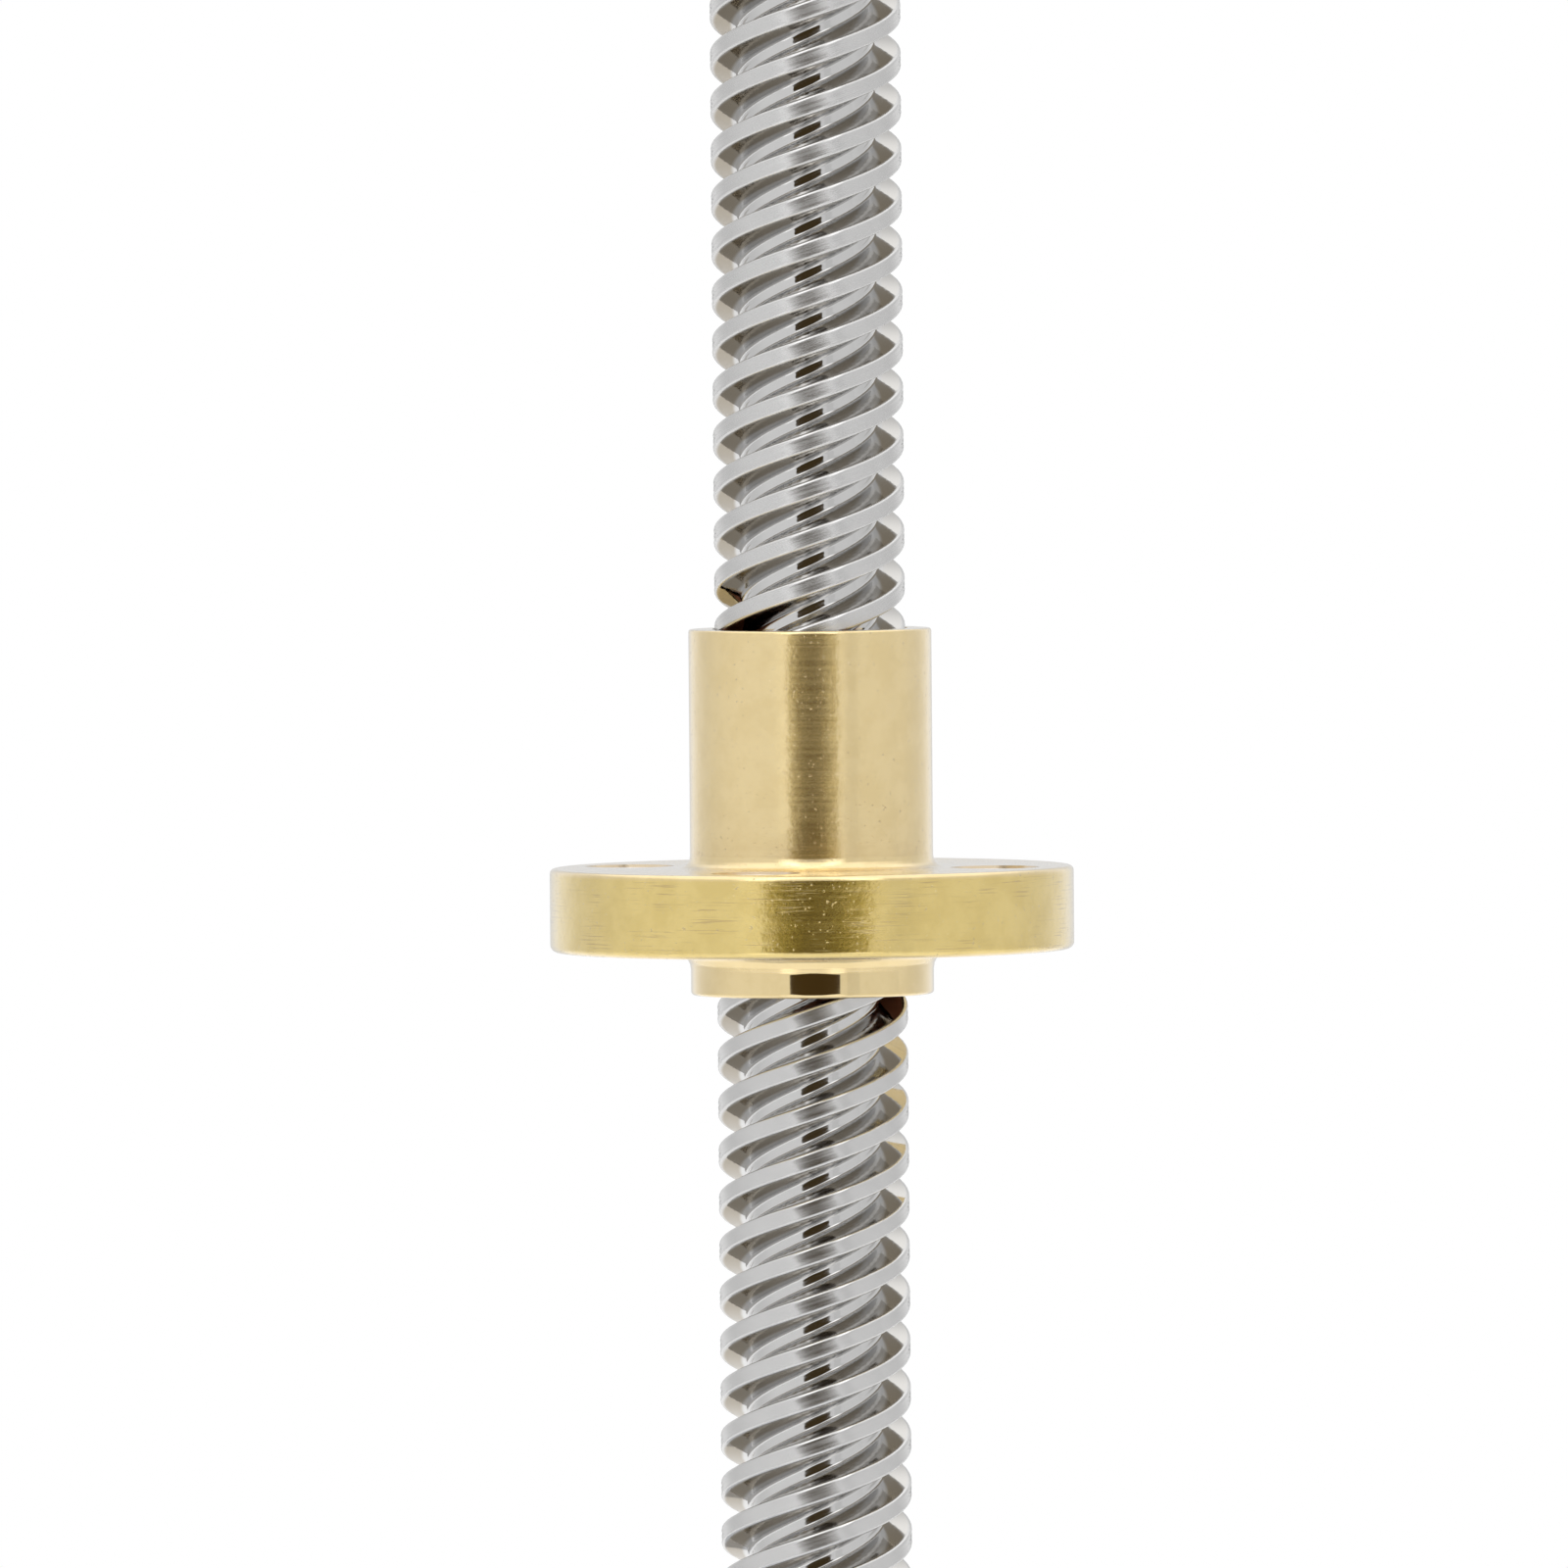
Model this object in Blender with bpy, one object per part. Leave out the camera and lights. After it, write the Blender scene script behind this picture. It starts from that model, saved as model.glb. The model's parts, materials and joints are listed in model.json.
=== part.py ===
"""NEMA 17 hybrid stepper motor whose shaft is a four-start T8 lead screw carrying a brass flanged nut.

The origin is the centre of the motor's rear face. +Z runs along the screw, out of the front face, and
-Y is the side with the connector. Dimensions below are millimetres; meshes are made in metres.
"""

import math

import bmesh
import bpy
from mathutils import Matrix, Vector

MM = 0.001

# Motor body
BODY_SIDE = 42.3
BODY_LENGTH = 40.0
BODY_CORNER_CUT = 4.5
PILOT_RADIUS = 11.0
PILOT_HEIGHT = 2.0
SEAM = 0.15
BELL_LENGTH = 10.5
CAVITY_RADIUS = 19.55
REAR_CAVITY_FLOOR = 3.0
REAR_BOSS_RADIUS = 9.6
FRONT_CAVITY_DEPTH = 3.1
FRONT_SHAFT_HOLE_RADIUS = 4.8

# Fasteners and the mounting pattern that they share
SCREW_SPACING = 31.0
TAPPED_RADIUS = 1.5
CLEARANCE_RADIUS = 1.7
COUNTERBORE_RADIUS = 3.1
COUNTERBORE_DEPTH = 2.6
CASE_SCREW_RADIUS = 1.3
CASE_SCREW_HEAD_RADIUS = 2.75
CASE_SCREW_HEAD_HEIGHT = 2.05
CASE_SCREW_END = 35.0

# Stator and windings
POLES = 8
TEETH_PER_POLE = 6
TOOTH_PITCH = 7.2
TOOTH_WIDTH = 3.1
STATOR_TIP_RADIUS = 11.05
STATOR_ROOT_RADIUS = 11.6
SHOE_RADIUS = 12.6
YOKE_RADIUS = 18.2
POLE_HALF_WIDTH = 2.1
COIL_INNER_HALF_WIDTH = 2.45
COIL_THICKNESS = 2.0
COIL_START_RADIUS = 12.95
COIL_END_RADIUS = 16.9
COIL_HEAD_ROOM = 0.75
BOBBIN_FLOOR = 0.5
BOBBIN_WALL_HEIGHT = 2.7
BOBBIN_RING = (17.9, 19.3)
BOBBIN_LIP = (11.4, 12.6)
BOBBIN_LIP_HALF_ANGLE = 17.0

# Rotor
ROTOR_TEETH = 50
ROTOR_TIP_RADIUS = 10.9
ROTOR_ROOT_RADIUS = 10.35
ROTOR_CORE_LENGTH = 7.6
MAGNET_LENGTH = 1.4
MAGNET_RADIUS = 9.9
ROTOR_BORE = 2.62
ROTOR_GAP = 0.1
SPACER_RADIUS = 3.9

# Bearings: 5 x 16 x 5, shielded both sides
BEARING_RADIUS = 8.0
BEARING_WIDTH = 5.0
BEARING_SEAT_RADIUS = 8.15
BEARING_FACE_RADII = (4.2, 6.5)
BEARING_SEGMENTS = 24
BALL_COUNT = 7
BALL_RADIUS = 1.38
BALL_CIRCLE = 5.25
REAR_BEARING_Z = 2.0
FRONT_BEARING_Z = 33.5
REAR_SEAT_FLOOR = 1.2
FRONT_SEAT_TOP = 38.7

# Lead screw and nut thread: four starts, pitch 2, lead 8, right-hand
THREAD_STARTS = 4
THREAD_LEAD = 8.0
SCREW_MAJOR = 4.0
SCREW_MINOR = 2.75
CREST_SHARE = 0.366
ROOT_SHARE = 0.299
THREAD_PHASE = 28.4
STEPS_PER_TURN = 10
JOURNAL_RADIUS = 2.5
JOURNAL_BOTTOM = 1.5
COLLAR_RADIUS = 3.3
SCREW_TOP = 140.0
THREAD_LENGTH = 100.8
SCREW_END_CHAMFER = 0.6

# Brass nut, measured from the underside of its flange
NUT_Z = 80.0
NUT_FLANGE_RADIUS = 11.0
NUT_FLANGE_THICKNESS = 3.5
NUT_BARREL_RADIUS = 5.1
NUT_BARREL_LENGTH = 10.0
NUT_BOSS_LENGTH = 1.85
NUT_CHAMFER = 0.3
NUT_END_CHAMFER = 0.2
NUT_BOSS_FILLET = 0.8
NUT_BARREL_FILLET = 0.5
NUT_HOLE_CIRCLE = 8.0
NUT_HOLE_RADIUS = 1.75
NUT_HOLE_ANGLE = -106.8
NUT_THREAD_MAJOR = 4.35
NUT_THREAD_MINOR = 3.0
NUT_THREAD_SLACK = 4.0

# Connector and terminal board
CONNECTOR_PINS = 6
PIN_PITCH = 2.0
PIN_HALF = 0.25
PIN_Z = 5.6
PIN_LEG_Y = -16.4
PIN_TIP_Y = -22.4
PIN_HOLE_HALF = 0.45
BOARD_Z = (6.4, 7.2)
BOARD_RADII = (10.6, 18.8)
BOARD_HALF_ANGLE = 40.0
SHELL_HALF_WIDTH = 8.7
SHELL_Y = (-23.4, -19.75)
SHELL_Z = (3.1, 10.35)
SHELL_WALL = 0.8
SHELL_BACK = 1.0
SOCKET_TOP = 8.3
NOTCH_CLEARANCE = 0.2

# Facets of the larger round features
HOUSING_SEGMENTS = 32
PILOT_SEGMENTS = 48
NUT_SEGMENTS = 40

STACK_BOTTOM = BELL_LENGTH + SEAM
STACK_TOP = BODY_LENGTH - BELL_LENGTH - SEAM
STACK_MIDDLE = (STACK_BOTTOM + STACK_TOP) / 2
FRONT_BELL_BOTTOM = BODY_LENGTH - BELL_LENGTH
THREAD_BOTTOM = SCREW_TOP - THREAD_LENGTH


def clear_scene():
    for old in list(bpy.data.objects):
        bpy.data.objects.remove(old)


def material(name, colour, roughness, metallic):
    made = bpy.data.materials.new(name)
    made.use_nodes = True
    shader = made.node_tree.nodes["Principled BSDF"]
    shader.inputs["Base Color"].default_value = (*colour, 1.0)
    shader.inputs["Roughness"].default_value = roughness
    shader.inputs["Metallic"].default_value = metallic
    made.diffuse_color = (*colour, 1.0)
    return made


def add_object(name, mesh, finish=None, parent=None, location=(0, 0, 0)):
    """Link a mesh as a named object; location is in millimetres."""
    made = bpy.data.objects.new(name, mesh)
    bpy.context.scene.collection.objects.link(made)
    made.location = Vector(location) * MM
    made.parent = parent
    if finish:
        mesh.materials.clear()
        mesh.materials.append(finish)
    return made


def smooth(mesh, angle=40.0):
    mesh.shade_smooth()
    mesh.set_sharp_from_angle(angle=math.radians(angle))


def mesh_of(name, points, faces):
    """A mesh in metres from points in millimetres, with its faces turned outwards."""
    mesh = bpy.data.meshes.new(name)
    mesh.from_pydata([Vector(point) * MM for point in points], [], faces)
    form = bmesh.new()
    form.from_mesh(mesh)
    bmesh.ops.recalc_face_normals(form, faces=form.faces)
    form.to_mesh(mesh)
    form.free()
    return mesh


def turned_mesh(name, profile, segments):
    """Revolve a closed (radius, z) outline about Z; points at radius 0 become poles."""
    points = []
    rings = []
    for radius, z in profile:
        if radius == 0:
            rings.append([len(points)] * segments)
            points.append((0.0, 0.0, z))
            continue
        rings.append([len(points) + step for step in range(segments)])
        for step in range(segments):
            angle = 2 * math.pi * step / segments
            points.append((radius * math.cos(angle), radius * math.sin(angle), z))
    faces = []
    for index, ring in enumerate(rings):
        above = rings[(index + 1) % len(rings)]
        if len(set(ring)) == 1 and len(set(above)) == 1:
            continue
        for step in range(segments):
            after = (step + 1) % segments
            corners = [ring[step], ring[after], above[after], above[step]]
            faces.append(list(dict.fromkeys(corners)))
    mesh = mesh_of(name, points, faces)
    smooth(mesh)
    return mesh


def prism_mesh(name, outline, low, high):
    """Extrude a plane (x, y) outline between two heights."""
    count = len(outline)
    points = [(x, y, low) for x, y in outline] + [(x, y, high) for x, y in outline]
    faces = [list(reversed(range(count))), list(range(count, 2 * count))]
    for index in range(count):
        after = (index + 1) % count
        faces.append([index, after, count + after, count + index])
    mesh = mesh_of(name, points, faces)
    smooth(mesh)
    return mesh


def box_mesh(name, x_range, y_range, z_range):
    outline = [
        (x_range[0], y_range[0]),
        (x_range[1], y_range[0]),
        (x_range[1], y_range[1]),
        (x_range[0], y_range[1]),
    ]
    return prism_mesh(name, outline, *z_range)


def circle(radius, segments, centre=(0.0, 0.0)):
    step = 2 * math.pi / segments
    return [
        (centre[0] + radius * math.cos(k * step), centre[1] + radius * math.sin(k * step))
        for k in range(segments)
    ]


def polar(radius, degrees):
    angle = math.radians(degrees)
    return (radius * math.cos(angle), radius * math.sin(angle))


def arc(centre, radius, start, end, steps=2):
    """Points along an arc from one angle to another, in degrees."""
    points = []
    for step in range(steps + 1):
        across, up = polar(radius, start + (end - start) * step / steps)
        points.append((centre[0] + across, centre[1] + up))
    return points


def joined_mesh(name, meshes):
    """One mesh holding several shapes, as a cutter or as the second operand of a union."""
    form = bmesh.new()
    for mesh in meshes:
        form.from_mesh(mesh)
    made = bpy.data.meshes.new(name)
    form.to_mesh(made)
    form.free()
    return made


def combine(target, tool_name, meshes, operation="DIFFERENCE", location=(0, 0, 0)):
    """Cut or join a target with a hidden tool object through a Boolean modifier."""
    tool = add_object(tool_name, joined_mesh(tool_name, meshes), location=location)
    tool.hide_render = True
    tool.display_type = "WIRE"
    boolean = target.modifiers.new(tool_name, "BOOLEAN")
    boolean.operation = operation
    boolean.object = tool
    return target


def finished_mesh(source):
    """The mesh of an object with its modifiers applied, for copies that share it."""
    bpy.context.view_layer.update()
    depsgraph = bpy.context.evaluated_depsgraph_get()
    return bpy.data.meshes.new_from_object(source.evaluated_get(depsgraph))


def cut_square():
    """The motor's square section with its four corners cut off at 45 degrees."""
    half = BODY_SIDE / 2
    inner = half - BODY_CORNER_CUT
    corners = [(half, inner), (inner, half)]
    outline = []
    for quarter in range(4):
        turn = Matrix.Rotation(quarter * math.pi / 2, 2)
        outline += [tuple(turn @ Vector(corner)) for corner in corners]
    return outline


def corner_places():
    half = SCREW_SPACING / 2
    return [(half, half), (-half, half), (-half, -half), (half, -half)]


def corner_holes(name, radius, low, high, segments=16):
    return [
        prism_mesh(f"{name}_{index}", circle(radius, segments, place), low, high)
        for index, place in enumerate(corner_places(), 1)
    ]


def make_front_bell(finish):
    bell = add_object(
        "front_end_bell",
        prism_mesh("front_end_bell", cut_square(), FRONT_BELL_BOTTOM, BODY_LENGTH),
        finish,
    )
    pilot_top = BODY_LENGTH + PILOT_HEIGHT
    pilot = turned_mesh(
        "front_pilot",
        [
            (0, BODY_LENGTH - 1),
            (PILOT_RADIUS, BODY_LENGTH - 1),
            (PILOT_RADIUS, pilot_top - 0.3),
            (PILOT_RADIUS - 0.3, pilot_top),
            (0, pilot_top),
        ],
        PILOT_SEGMENTS,
    )
    combine(bell, "front_pilot", [pilot], "UNION")
    cavity_top = FRONT_BELL_BOTTOM + FRONT_CAVITY_DEPTH
    hollow = turned_mesh(
        "front_hollow",
        [
            (0, FRONT_BELL_BOTTOM - 1),
            (CAVITY_RADIUS, FRONT_BELL_BOTTOM - 1),
            (CAVITY_RADIUS, cavity_top),
            (BEARING_SEAT_RADIUS, cavity_top),
            (BEARING_SEAT_RADIUS, FRONT_SEAT_TOP),
            (FRONT_SHAFT_HOLE_RADIUS, FRONT_SEAT_TOP),
            (FRONT_SHAFT_HOLE_RADIUS, pilot_top + 1),
            (0, pilot_top + 1),
        ],
        HOUSING_SEGMENTS,
    )
    holes = corner_holes("front_tapped", TAPPED_RADIUS, FRONT_BELL_BOTTOM - 1, BODY_LENGTH + 1)
    combine(bell, "front_hollow", [hollow])
    combine(bell, "front_tapped_holes", holes)


def make_rear_bell(finish):
    bell = add_object(
        "rear_end_bell", prism_mesh("rear_end_bell", cut_square(), 0.0, BELL_LENGTH), finish
    )
    boss_top = REAR_BEARING_Z + BEARING_WIDTH + 0.3
    hollow = turned_mesh(
        "rear_hollow",
        [
            (0, REAR_SEAT_FLOOR),
            (BEARING_SEAT_RADIUS, REAR_SEAT_FLOOR),
            (BEARING_SEAT_RADIUS, boss_top),
            (REAR_BOSS_RADIUS, boss_top),
            (REAR_BOSS_RADIUS, REAR_CAVITY_FLOOR),
            (CAVITY_RADIUS, REAR_CAVITY_FLOOR),
            (CAVITY_RADIUS, BELL_LENGTH + 1),
            (0, BELL_LENGTH + 1),
        ],
        HOUSING_SEGMENTS,
    )
    notch_half = SHELL_HALF_WIDTH + NOTCH_CLEARANCE
    notch = box_mesh(
        "rear_notch",
        (-notch_half, notch_half),
        (-BODY_SIDE, -CAVITY_RADIUS + 3),
        (SHELL_Z[0] - NOTCH_CLEARANCE, BELL_LENGTH + 2),
    )
    holes = corner_holes("rear_clearance", CLEARANCE_RADIUS, 1, BELL_LENGTH + 1)
    sinks = corner_holes("rear_counterbore", COUNTERBORE_RADIUS, -1, COUNTERBORE_DEPTH, 20)
    combine(bell, "rear_hollow", [hollow])
    combine(bell, "rear_notch", [notch])
    combine(bell, "rear_screw_holes", holes)
    combine(bell, "rear_counterbores", sinks)


def pole_outline(centre):
    """The outline of one stator pole as the slot void meets it, from yoke to yoke."""
    half = TOOTH_WIDTH / 2
    shoe_half = (TEETH_PER_POLE - 1) / 2 * TOOTH_PITCH + half
    flank = math.degrees(math.asin(POLE_HALF_WIDTH / SHOE_RADIUS))
    at_yoke = math.degrees(math.asin(POLE_HALF_WIDTH / YOKE_RADIUS))
    points = [polar(YOKE_RADIUS, centre - at_yoke), polar(SHOE_RADIUS, centre - flank)]
    points.append(polar(SHOE_RADIUS, centre - shoe_half))
    for tooth in range(TEETH_PER_POLE):
        middle = centre + (tooth - (TEETH_PER_POLE - 1) / 2) * TOOTH_PITCH
        if tooth:
            points.append(polar(STATOR_ROOT_RADIUS, middle - half))
        points.append(polar(STATOR_TIP_RADIUS, middle - half))
        points.append(polar(STATOR_TIP_RADIUS, middle + half))
        if tooth < TEETH_PER_POLE - 1:
            points.append(polar(STATOR_ROOT_RADIUS, middle + half))
    points.append(polar(SHOE_RADIUS, centre + shoe_half))
    points += [polar(SHOE_RADIUS, centre + flank), polar(YOKE_RADIUS, centre + at_yoke)]
    points += [polar(YOKE_RADIUS, centre + turn) for turn in (15.0, 30.0)]
    return points


def make_stator(finish):
    core = add_object(
        "stator_core", prism_mesh("stator_core", cut_square(), STACK_BOTTOM, STACK_TOP), finish
    )
    outline = []
    for pole in range(POLES):
        outline += pole_outline(pole * 360 / POLES)
    void = prism_mesh("stator_slots", outline, STACK_BOTTOM - 1, STACK_TOP + 1)
    holes = corner_holes("stator_hole", CLEARANCE_RADIUS, STACK_BOTTOM - 1, STACK_TOP + 1)
    combine(core, "stator_slots", [void])
    combine(core, "stator_screw_holes", holes)


def make_bobbin(name, finish, face, outward):
    """The moulded insulator on one end of the stack; outward is +1 at the front and -1 at the rear."""
    start = face + outward * 0.1
    floor = start + outward * BOBBIN_FLOOR
    top = start + outward * BOBBIN_WALL_HEIGHT
    ring = turned_mesh(
        f"{name}_ring",
        [(BOBBIN_RING[0], start), (BOBBIN_RING[1], start), (BOBBIN_RING[1], top), (BOBBIN_RING[0], top)],
        HOUSING_SEGMENTS,
    )
    bobbin = add_object(name, ring, finish)
    low, high = sorted((start, floor))
    wall_low, wall_high = sorted((start, top))
    arms = []
    lips = []
    for pole in range(POLES):
        centre = pole * 360 / POLES
        turn = Matrix.Rotation(math.radians(centre), 2)
        reach = (BOBBIN_LIP[0] + 0.5, BOBBIN_RING[0] + 0.6)
        corners = [
            (reach[0], -POLE_HALF_WIDTH),
            (reach[1], -POLE_HALF_WIDTH),
            (reach[1], POLE_HALF_WIDTH),
            (reach[0], POLE_HALF_WIDTH),
        ]
        outline = [tuple(turn @ Vector(corner)) for corner in corners]
        arms.append(prism_mesh(f"{name}_arm", outline, low, high))
        spread = [centre + BOBBIN_LIP_HALF_ANGLE * share for share in (-1, -0.33, 0.33, 1)]
        lip = [polar(BOBBIN_LIP[0], angle) for angle in spread]
        lip += [polar(BOBBIN_LIP[1], angle) for angle in reversed(spread)]
        lips.append(prism_mesh(f"{name}_lip", lip, wall_low, wall_high))
    combine(bobbin, f"{name}_arms", arms, "UNION")
    combine(bobbin, f"{name}_lips", lips, "UNION")


def rounded_box(half_width, half_height, corner, steps):
    """A rectangle with round corners, as (across, up) points."""
    points = []
    for quarter, (side, rise) in enumerate(((1, 1), (-1, 1), (-1, -1), (1, -1))):
        for step in range(steps + 1):
            angle = math.pi / 2 * (quarter + step / steps)
            across = side * (half_width - corner) + corner * math.cos(angle)
            up = rise * (half_height - corner) + corner * math.sin(angle)
            points.append((across, up))
    return points


def coil_mesh():
    """One winding around the pole that points along +X: a round-cornered ring."""
    inner_half = (STACK_TOP - STACK_BOTTOM) / 2 + COIL_HEAD_ROOM
    inner = rounded_box(COIL_INNER_HALF_WIDTH, inner_half, 0.4, 2)
    outer = rounded_box(
        COIL_INNER_HALF_WIDTH + COIL_THICKNESS, inner_half + COIL_THICKNESS, 1.8, 2
    )
    count = len(inner)
    points = []
    for loop, along in (
        (inner, COIL_START_RADIUS),
        (outer, COIL_START_RADIUS),
        (outer, COIL_END_RADIUS),
        (inner, COIL_END_RADIUS),
    ):
        points += [(along, across, up) for across, up in loop]
    faces = []
    for band in range(4):
        for step in range(count):
            after = (step + 1) % count
            above = (band + 1) % 4
            faces.append(
                [
                    band * count + step,
                    band * count + after,
                    above * count + after,
                    above * count + step,
                ]
            )
    mesh = mesh_of("coil", points, faces)
    smooth(mesh)
    return mesh


def make_coils(finish):
    shared = coil_mesh()
    for pole in range(POLES):
        coil = add_object(f"coil_{pole + 1}", shared, finish, location=(0, 0, STACK_MIDDLE))
        coil.rotation_euler.z = math.radians(pole * 360 / POLES)


def pin_places():
    middle = (CONNECTOR_PINS - 1) / 2
    return [(index - middle) * PIN_PITCH for index in range(CONNECTOR_PINS)]


def make_terminal_board(finish):
    spread = [-90 + BOARD_HALF_ANGLE * (step / 6 - 1) for step in range(13)]
    outline = [polar(BOARD_RADII[0], angle) for angle in reversed(spread)]
    outline += [polar(BOARD_RADII[1], angle) for angle in spread]
    board = add_object(
        "terminal_board", prism_mesh("terminal_board", outline, *BOARD_Z), finish
    )
    holes = [
        box_mesh(
            "pin_hole",
            (x - PIN_HOLE_HALF, x + PIN_HOLE_HALF),
            (PIN_LEG_Y - PIN_HOLE_HALF, PIN_LEG_Y + PIN_HOLE_HALF),
            (BOARD_Z[0] - 1, BOARD_Z[1] + 1),
        )
        for x in pin_places()
    ]
    combine(board, "terminal_board_holes", holes)


def make_connector(shell_finish, pin_finish):
    shell = add_object(
        "connector_shell",
        box_mesh("connector_shell", (-SHELL_HALF_WIDTH, SHELL_HALF_WIDTH), SHELL_Y, SHELL_Z),
        shell_finish,
    )
    socket_half = SHELL_HALF_WIDTH - SHELL_WALL
    socket = box_mesh(
        "connector_socket",
        (-socket_half, socket_half),
        (SHELL_Y[0] - 1, SHELL_Y[1] - SHELL_BACK),
        (SHELL_Z[0] + SHELL_WALL, SOCKET_TOP),
    )
    key_slots = [
        box_mesh(
            "connector_key",
            (side * 5.0 - 0.8, side * 5.0 + 0.8),
            (SHELL_Y[0] - 1, SHELL_Y[1] - SHELL_BACK - 0.8),
            (SHELL_Z[0] - 1, SHELL_Z[0] + SHELL_WALL + 0.5),
        )
        for side in (-1, 1)
    ]
    holes = [
        box_mesh(
            "connector_hole",
            (x - PIN_HOLE_HALF, x + PIN_HOLE_HALF),
            (SHELL_Y[1] - SHELL_BACK - 1, SHELL_Y[1] + 1),
            (PIN_Z - PIN_HOLE_HALF, PIN_Z + PIN_HOLE_HALF),
        )
        for x in pin_places()
    ]
    combine(shell, "connector_socket", [socket])
    combine(shell, "connector_keys", key_slots)
    combine(shell, "connector_holes", holes)
    leg_top = BOARD_Z[1] + 0.5
    side_view = [
        (PIN_TIP_Y, PIN_Z - PIN_HALF),
        (PIN_LEG_Y + PIN_HALF, PIN_Z - PIN_HALF),
        (PIN_LEG_Y + PIN_HALF, leg_top),
        (PIN_LEG_Y - PIN_HALF, leg_top),
        (PIN_LEG_Y - PIN_HALF, PIN_Z + PIN_HALF),
        (PIN_TIP_Y, PIN_Z + PIN_HALF),
    ]
    flat = prism_mesh("connector_pin", side_view, -PIN_HALF, PIN_HALF)
    flat.transform(Matrix(((0, 0, 1, 0), (1, 0, 0, 0), (0, 1, 0, 0), (0, 0, 0, 1))))
    for index, x in enumerate(pin_places(), 1):
        add_object(f"connector_pin_{index}", flat, pin_finish, location=(x, 0, 0))


def make_case_screws(finish):
    """Pan-head screws that go in from the rear and draw the two end bells together."""
    head_low = 0.35
    head_high = head_low + CASE_SCREW_HEAD_HEIGHT
    profile = [
        (0, head_low),
        (CASE_SCREW_HEAD_RADIUS - 0.6, head_low),
        (CASE_SCREW_HEAD_RADIUS, head_low + 0.7),
        (CASE_SCREW_HEAD_RADIUS, head_high),
        (CASE_SCREW_RADIUS, head_high),
        (CASE_SCREW_RADIUS, CASE_SCREW_END - 0.5),
        (CASE_SCREW_RADIUS - 0.4, CASE_SCREW_END),
        (0, CASE_SCREW_END),
    ]
    pattern = add_object("case_screw_pattern", turned_mesh("case_screw", profile, 16), finish)
    pattern.hide_render = True
    pattern.display_type = "WIRE"
    slot = (-0.4, 0.4)
    reach = (-1.5, 1.5)
    depth = (head_low - 1, head_low + 1.3)
    recess = [box_mesh("recess_across", reach, slot, depth)]
    recess_tool = [box_mesh("recess_along", slot, reach, depth)]
    combine(pattern, "case_screw_recess_1", recess)
    combine(pattern, "case_screw_recess_2", recess_tool)
    shared = finished_mesh(pattern)
    for index, (x, y) in enumerate(corner_places(), 1):
        add_object(f"case_screw_{index}", shared, finish, location=(x, y, 0))


def tube_mesh(name, inner, outer, low, high, segments=BEARING_SEGMENTS):
    profile = [(inner, low), (outer, low), (outer, high), (inner, high)]
    return turned_mesh(name, profile, segments)


def ring_profile(flat_radius, face_radius, groove_radii):
    """A bearing ring from its plain side to its ball groove, bottom face at z = 0."""
    middle = BEARING_WIDTH / 2
    deep, part = groove_radii
    return [
        (flat_radius, 0),
        (face_radius, 0),
        (face_radius, middle - 1.15),
        (part, middle - 0.6),
        (deep, middle),
        (part, middle + 0.6),
        (face_radius, middle + 1.15),
        (face_radius, BEARING_WIDTH),
        (flat_radius, BEARING_WIDTH),
    ]


def make_bearing(side, z, finishes, rotor_axis):
    steel, shield_steel = finishes
    outer = ring_profile(BEARING_RADIUS, BEARING_FACE_RADII[1], (6.95, 6.75))
    inner = ring_profile(ROTOR_BORE, BEARING_FACE_RADII[0], (3.55, 3.75))
    place = (0, 0, z)
    outer_name = f"{side}_bearing_outer_ring"
    inner_name = f"{side}_bearing_inner_ring"
    outer_ring = turned_mesh(outer_name, outer, BEARING_SEGMENTS)
    inner_ring = turned_mesh(inner_name, inner, BEARING_SEGMENTS)
    add_object(outer_name, outer_ring, steel, location=place)
    add_object(inner_name, inner_ring, steel, rotor_axis, place)
    for where, low in (("rear", 0.2), ("front", BEARING_WIDTH - 0.45)):
        name = f"{side}_bearing_{where}_shield"
        add_object(name, tube_mesh(name, 4.45, 6.35, low, low + 0.25), shield_steel, location=place)
    make_ball_cage(side, z, steel)


def make_ball_cage(side, z, finish):
    """The balls of one bearing, held in their cage; they turn as one body."""
    middle = BEARING_WIDTH / 2
    name = f"{side}_bearing_balls"
    cage = add_object(
        name, tube_mesh(name, 4.95, 5.5, middle - 0.7, middle + 0.7), finish, location=(0, 0, z)
    )
    balls = []
    for index in range(BALL_COUNT):
        x, y = polar(BALL_CIRCLE, index * 360 / BALL_COUNT)
        form = bmesh.new()
        bmesh.ops.create_icosphere(
            form,
            subdivisions=2,
            radius=BALL_RADIUS * MM,
            matrix=Matrix.Translation(Vector((x, y, middle)) * MM),
        )
        ball = bpy.data.meshes.new("ball")
        form.to_mesh(ball)
        form.free()
        balls.append(ball)
    combine(cage, f"{name}_tool", balls, "UNION", location=(0, 0, z))


def make_wave_washer(finish):
    """A thin ring bent into three waves, which pushes the rear bearing forwards."""
    segments = 36
    inner, outer = 5.7, 7.6
    half_thickness = 0.11
    height = 0.2
    middle = (REAR_SEAT_FLOOR + REAR_BEARING_Z) / 2
    points = []
    for radius, rise in (
        (inner, -half_thickness),
        (outer, -half_thickness),
        (outer, half_thickness),
        (inner, half_thickness),
    ):
        for step in range(segments):
            angle = 2 * math.pi * step / segments
            z = middle + height * math.sin(3 * angle) + rise
            points.append((radius * math.cos(angle), radius * math.sin(angle), z))
    faces = []
    for band in range(4):
        above = (band + 1) % 4
        for step in range(segments):
            after = (step + 1) % segments
            faces.append(
                [
                    band * segments + step,
                    band * segments + after,
                    above * segments + after,
                    above * segments + step,
                ]
            )
    mesh = mesh_of("wave_washer", points, faces)
    smooth(mesh)
    add_object("wave_washer", mesh, finish)


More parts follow.
